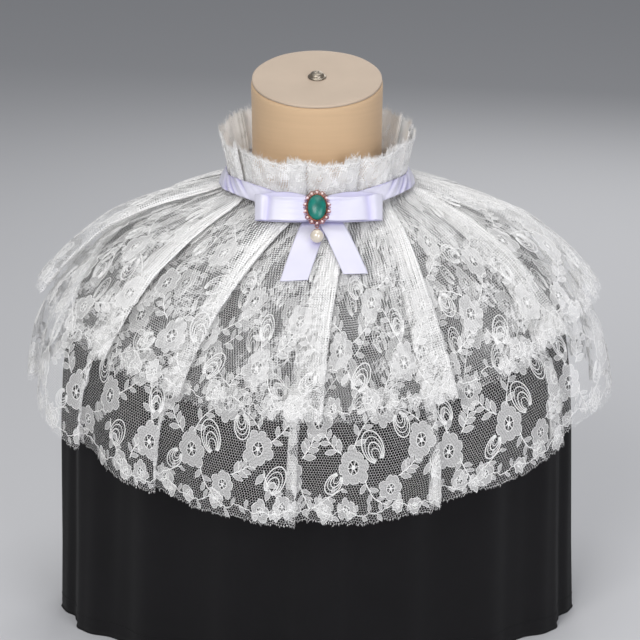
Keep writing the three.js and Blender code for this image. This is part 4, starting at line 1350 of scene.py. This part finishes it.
class COLLAR_OT_ribbons(PieceOperator, bpy.types.Operator):
    """Builds the satin neckband, the bow loop and its two tails"""

    bl_idname = "collar.ribbons"
    bl_label = "Satin ribbons"

    def execute(self, context):
        satin = satin_ribbon()
        self.neckband(satin)
        self.loop(satin)
        lift = 1.4
        self.tail("tail_left", "bow_tail_left", lift, (1, 17), (-19, 80), 11.6, -1.6, satin)
        self.tail("tail_right", "bow_tail_right", 2 * lift, (7.8, 17), (31.6, 76), 10.2, 1.2, satin)
        return {"FINISHED"}

    def neckband(self, satin):
        """The band's profile swept round the neck, puckered at the sides, lapped behind."""
        columns, middle = 420, 6
        degrees = np.linspace(-178, 185, columns)
        s = np.linspace(0, sizes().band_width, 12)[:, None]
        degrees, s = np.broadcast_arrays(degrees[None], s)
        a = np.radians(degrees)
        pucker = np.exp(-(((np.abs(degrees) - 64) / 15) ** 2))
        crease = waves(np.abs(degrees) + 1.1 * s, (4.9, 7.7, 12.5), 51)
        edge = 0.4 * waves(degrees, (23, 37), 53)
        lift = 1.6 * smooth(degrees, 160, 176) + (0.25 + 2.7 * pucker) * crease + 0.3 * edge
        lift = lift - 0.5 * ((s / 15 - 0.5) * 2) ** 4
        sway = 0.5 * waves(degrees, (31, 53), 57)
        grid = drape(BAND, a, np.clip(s + sway, 0, 16))
        grid = grid + drape_normal(BAND, a, np.clip(s, 0, 15)) * lift[..., None]
        rise = 5.5 * np.sin(2 * a) ** 2 * (np.cos(a) > 0)
        grid = grid + rise[..., None] * np.array([0, 0, 1.0])
        length = np.linalg.norm(np.diff(grid[middle], axis=0), axis=1).sum()
        run = np.broadcast_to(np.linspace(0, length, columns), s.shape)
        uv = np.stack([s, run], axis=-1)
        ribbon(
            "neckband", grid, uv, satin, "neck_ribbon"
        )

    def loop(self, satin):
        """A flattened loop: the back lies straight and the front bellies out to each side."""
        wide = sizes().bow_width
        f = np.linspace(0, 1, 130)
        x = mix(-BOW_LEFT, BOW_RIGHT, (1 - np.cos(np.pi * f)) / 2)
        reach = np.where(x < 0, -x / BOW_LEFT, x / BOW_RIGHT)
        swell = np.sin(np.pi * np.minimum(reach / 1.04, 1)) ** 1.4
        close = np.sqrt(np.maximum(1 - reach**8, 0))
        front = mix(4.2, 7.4, swell) * close
        line_x = np.concatenate([x, x[::-1]])
        line_out = np.concatenate([0.2 * np.sin(np.pi * reach), front[::-1]])
        is_back = np.concatenate([np.ones_like(x), np.zeros_like(x)])
        is_front = 1 - is_back
        swell = np.concatenate([swell, swell[::-1]])
        near = np.concatenate([reach, reach[::-1]])
        v = np.linspace(-1, 1, 25)[:, None]
        top = np.clip(-v, 0, 1)
        from_middle = near * BOW_REACH
        pinch = 1 - 0.12 * np.exp(-((from_middle / 12) ** 2))
        down = v * wide / 2 * pinch - 3.6 * swell * is_back * top + 4.0 * swell * is_front * top
        down = down + 0.5 * swell * is_front * np.clip(v, 0, 1)
        pleat = 0.7 * waves(v * 9 + 2 * near, (3.1, 5.3), 61) * np.exp(-((from_middle / 22) ** 2))
        ridge = 0.9 * np.exp(-(((near - 0.9) / 0.05) ** 2))
        hollow = 1.5 * np.exp(-(((near - 0.79 - 0.02 * v) / 0.06) ** 2))
        roll = 0.5 * np.sin(9 * near + 1.2 * v + np.sign(line_x))
        lip = 2.0 * swell * top**3
        out = line_out + is_front * (pleat + ridge - hollow + roll * swell + lip)
        out = out - is_front * 0.5 * np.clip(v, 0, 1) ** 3
        grid = bow_point(np.broadcast_to(line_x, out.shape), down, out)
        grid = np.concatenate([grid, grid[:, :1]], axis=1)
        # Painted shade: the crease field marks where the satin is tinted lavender, in the front's
        # upright hollow, in a band near the middle, and on the back layer's top inside the loop.
        crease = is_front * hollow / 1.5 + is_back * swell * 0.8 * smooth(-v, -0.9, 0.9)
        crease = crease + 0.4 * is_front * np.exp(-(((near - 0.3) / 0.1) ** 2))
        crease = np.concatenate([crease, crease[:, :1]], axis=1)
        steps = np.linalg.norm(np.diff(grid[12], axis=0), axis=1)
        length = np.concatenate([[0], np.cumsum(steps)])
        uv = np.stack(np.broadcast_arrays((v + 1) * wide / 2, length), axis=-1)
        ribbon("bow_ribbon", grid, uv, satin, "bow_loop", crease)

    def tail(self, name, node, lift, start, end, half, slant, satin):
        """A strip on the crests of the upper tier, from under the bow to its slanted cut."""
        f = np.linspace(0, 1, 60)[:, None]
        v = np.linspace(-1, 1, 19)[None]
        s = mix(start[1], end[1], f) + slant * f * v
        x = mix(start[0], end[0], f) + half * v
        a = np.arcsin(x / along(DRAPE, s, 3))
        height = along(UPPER_RELIEF, s, 1) + 0.97 * along(UPPER_RELIEF, s, 2) + lift
        curl = 0.9 * f**2 * np.sin(np.pi * (v + 0.4)) + 0.5 * np.sin(5 * f + v)
        height = height + 0.4 * curl * f
        grid = drape(DRAPE, a, s) + lift_direction(DRAPE, a, s) * height[..., None]
        grid = grid.transpose(1, 0, 2)
        length = float(np.linalg.norm(np.diff(grid[9], axis=0), axis=1).sum())
        uv = np.stack(np.broadcast_arrays(half * (1 + v.T), length * f.T), axis=-1)
        ribbon(name, grid, uv, satin, node)


class COLLAR_OT_brooch(PieceOperator, bpy.types.Operator):
    """Builds the filigree setting, the cabochon and the pearl drop"""

    bl_idname = "collar.brooch"
    bl_label = "Brooch and drop"

    def execute(self, context):
        self.setting()
        self.stone()
        self.drop()
        return {"FINISHED"}

    def setting(self):
        """Rings round an oval rim with a crystal in each, a beaded edge and a bezel."""
        parts = Parts()
        level = PLATE_BACK + PLATE / 2
        for k in range(RIM_LOOPS):
            a = 2 * np.pi * k / RIM_LOOPS
            centre = bow_point(RIM_WIDTH * np.sin(a), RIM_HEIGHT * np.cos(a), level)
            parts.ring(centre, RIGHT, UP, (RIM_RING, RIM_RING), RIM_WIRE, 28, 8)
            parts.bead(centre + 0.1 * OUT, CRYSTAL_RADIUS, slot=1)
            b = a + np.pi / RIM_LOOPS
            joint = (RIM_WIDTH + 1.1) * np.sin(b), (RIM_HEIGHT + 1.1) * np.cos(b)
            parts.bead(bow_point(*joint, level + 0.25), JOINT_RADIUS)
        wide, tall = STONE_WIDTH + 0.75, STONE_HEIGHT + 0.75
        for grow, wire, out in ((0.2, 0.4, 0.9), (-0.2, 0.3, 1.8), (1.4, 0.22, 0.6)):
            centre = bow_point(0, 0, PLATE_BACK + out)
            parts.ring(centre, RIGHT, UP, (wide + grow, tall + grow), wire, 120, 8, 0.18)
        a = np.linspace(0, 2 * np.pi, 64, endpoint=False)
        plate = [
            bow_point(wide * f * np.sin(a), tall * f * np.cos(a), PLATE_BACK + out)
            for f, out in ((0.3, 0.1), (0.97, 0.1), (1, 0.3), (1, 1.2), (0.3, 1.2))
        ]
        parts.take(*capped(np.stack(plate)))
        parts.ring(LOOP_CENTRE, RIGHT, HANG, FIXED_LOOP[:1] * 2, LOOP_WIRE, 32, 8)
        made = parts.piece("brooch_filigree", [rose_gold(), clear_crystal()], slot="gilt")
        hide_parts("brooch_setting")

    def stone(self):
        """A low dome: a quarter circle on three half axes, with a straight girdle."""
        seat = bow_point(0, 0, PLATE_BACK + PLATE + 0.3)
        dome = globe(
            seat, STONE_WIDTH * RIGHT, STONE_HEIGHT * UP, STONE_DOME * OUT, 22, 72, 0.03, np.pi / 2
        )
        girdle = seat + (dome[-1:] - seat) * 0.96 - 0.2 * OUT
        rings = np.concatenate([dome, girdle])
        skin("cabochon", rings, pressed_glass(), "brooch_stone")

    def drop(self):
        """A jump ring, then an eye on a small petalled cap over the pearl."""
        link = Parts()
        link.ring(LINK_CENTRE, HANG, HANG_OUT, JUMP_RING[:1] * 2, RING_WIRE, 36, 10)
        made = link.piece("jump_ring", [rose_gold()], body="drop_link", slot="gilt")
        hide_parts("drop_link")

        cap = Parts()
        cap.ring(EYE_CENTRE, RIGHT, HANG, EYE[:1] * 2, RING_WIRE, 32, 8)
        f = np.linspace(0, 1, 8)[:, None]
        b = np.linspace(0, 2 * np.pi, 48, endpoint=False)[None]
        lobes = 0.07 * np.cos(6 * b) * f**2
        tilt = mix(0.12, 0.62, f) + lobes
        cap_radius = PEARL_RADIUS + 0.12
        points = PEARL_CENTRE + cap_radius * (
            np.sin(tilt)[..., None] * (np.cos(b)[..., None] * RIGHT + np.sin(b)[..., None] * HANG_OUT)
            - np.cos(tilt)[..., None] * HANG
        )
        over = PEARL_CENTRE + (points[::-1] - PEARL_CENTRE) * (1 + 0.45 / cap_radius)
        shell = np.concatenate([points, over])
        cap.take(*capped(shell))
        cap.piece("pearl_cap", [rose_gold()], body="pearl_drop", slot="gilt")

        ball = globe(
            PEARL_CENTRE, PEARL_RADIUS * RIGHT, PEARL_RADIUS * HANG_OUT, -PEARL_RADIUS * HANG,
            40, 64, 0.04, np.pi - 0.04,
        )
        skin("pearl", ball, pearl_lustre(), "pearl_drop", body="pearl_drop")


class COLLAR_OT_stage(PieceOperator, bpy.types.Operator):
    """Sets the floor, the studio light and the camera"""

    bl_idname = "collar.stage"
    bl_label = "Studio"

    def execute(self, context):
        scene = context.scene
        mesh = bpy.data.meshes.new("floor")
        reach = 6.0
        corners = [(-reach, -reach, 0), (reach, -reach, 0), (reach, reach, 0), (-reach, reach, 0)]
        mesh.from_pydata(corners, [], [(0, 1, 2, 3)])
        mesh.materials.append(studio_floor())
        floor = bpy.data.objects.new("floor", mesh)
        scene.collection.objects.link(floor)

        world = bpy.data.worlds.new("studio")
        world.use_nodes = True
        world.node_tree.nodes["Background"].inputs[0].default_value = linear(0xE9ECF2)
        world.node_tree.nodes["Background"].inputs[1].default_value = 0.32
        scene.world = world
        scene.view_settings.view_transform = "Standard"

        lamps = (
            ("key", (-0.9, -2.2, 1.7), 1.3, 42, 0xFFFFFF),
            ("fill", (1.2, -2.2, 0.8), 1.4, 28, 0xF8F9FF),
            ("top", (0.1, -0.1, 2.5), 1.4, 17, 0xFFFFFF),
            ("back", (0.6, 1.9, 1.5), 1.4, 14, 0xFFFFFF),
        )
        target = np.array([0, 0, 0.32])
        for name, place, side, watts, tint in lamps:
            light = bpy.data.lights.new(name, "AREA")
            light.size = side
            light.energy = watts
            light.color = linear(tint)[:3]
            lamp = bpy.data.objects.new(name, light)
            lamp.location = place
            aim(lamp, target - np.array(place))
            scene.collection.objects.link(lamp)
        self.camera(scene)
        scene.cycles.transparent_max_bounces = 64
        return {"FINISHED"}

    def camera(self, scene):
        """Two metres from the neck seam's centre and 12 degrees above it, at the front."""
        distance, elevation = 2.0, np.radians(12)
        ring = np.array([0, 0, RING_Z * MM])
        back = np.array([0, -np.cos(elevation), np.sin(elevation)])
        lens = bpy.data.cameras.new("camera")
        lens.sensor_width = 36
        lens.lens = 125
        picture_width = 640
        lens.shift_x = 3 / picture_width
        lens.shift_y = -143 / picture_width
        eye = bpy.data.objects.new("camera", lens)
        eye.location = ring + distance * back
        aim(eye, -back)
        scene.collection.objects.link(eye)
        scene.camera = eye


def aim(thing, way):
    """Turns a lamp or camera to look along a direction, upright."""
    thing.rotation_euler = Vector(way.tolist()).to_track_quat("-Z", "Y").to_euler()


class COLLAR_PT_panel(bpy.types.Panel):
    """The collar's sizes, colours and pieces"""

    bl_idname = "COLLAR_PT_panel"
    bl_label = "Lace collar"
    bl_space_type = "VIEW_3D"
    bl_region_type = "UI"
    bl_category = "Collar"

    def draw(self, context):
        column = self.layout.column()
        for group in (context.scene.collar_sizes, context.scene.collar_colours):
            for name in group.bl_rna.properties.keys():
                if name not in ("rna_type", "name"):
                    column.prop(group, name)
        for operator in OPERATORS:
            column.operator(operator.bl_idname)


OPERATORS = (
    COLLAR_OT_form,
    COLLAR_OT_tiers,
    COLLAR_OT_heading,
    COLLAR_OT_ribbons,
    COLLAR_OT_brooch,
    COLLAR_OT_stage,
)
CLASSES = (CollarSizes, CollarColours, *OPERATORS, COLLAR_PT_panel)


def register():
    for made in CLASSES:
        bpy.utils.register_class(made)
    bpy.types.Scene.collar_sizes = bpy.props.PointerProperty(type=CollarSizes)
    bpy.types.Scene.collar_colours = bpy.props.PointerProperty(type=CollarColours)


def unregister():
    del bpy.types.Scene.collar_colours
    del bpy.types.Scene.collar_sizes
    for made in reversed(CLASSES):
        bpy.utils.unregister_class(made)


def main():
    """Builds every piece."""
    register()
    bpy.ops.collar.form()
    bpy.ops.collar.tiers()
    bpy.ops.collar.heading()
    bpy.ops.collar.ribbons()
    bpy.ops.collar.brooch()
    bpy.ops.collar.stage()


if __name__ == "__main__":
    main()
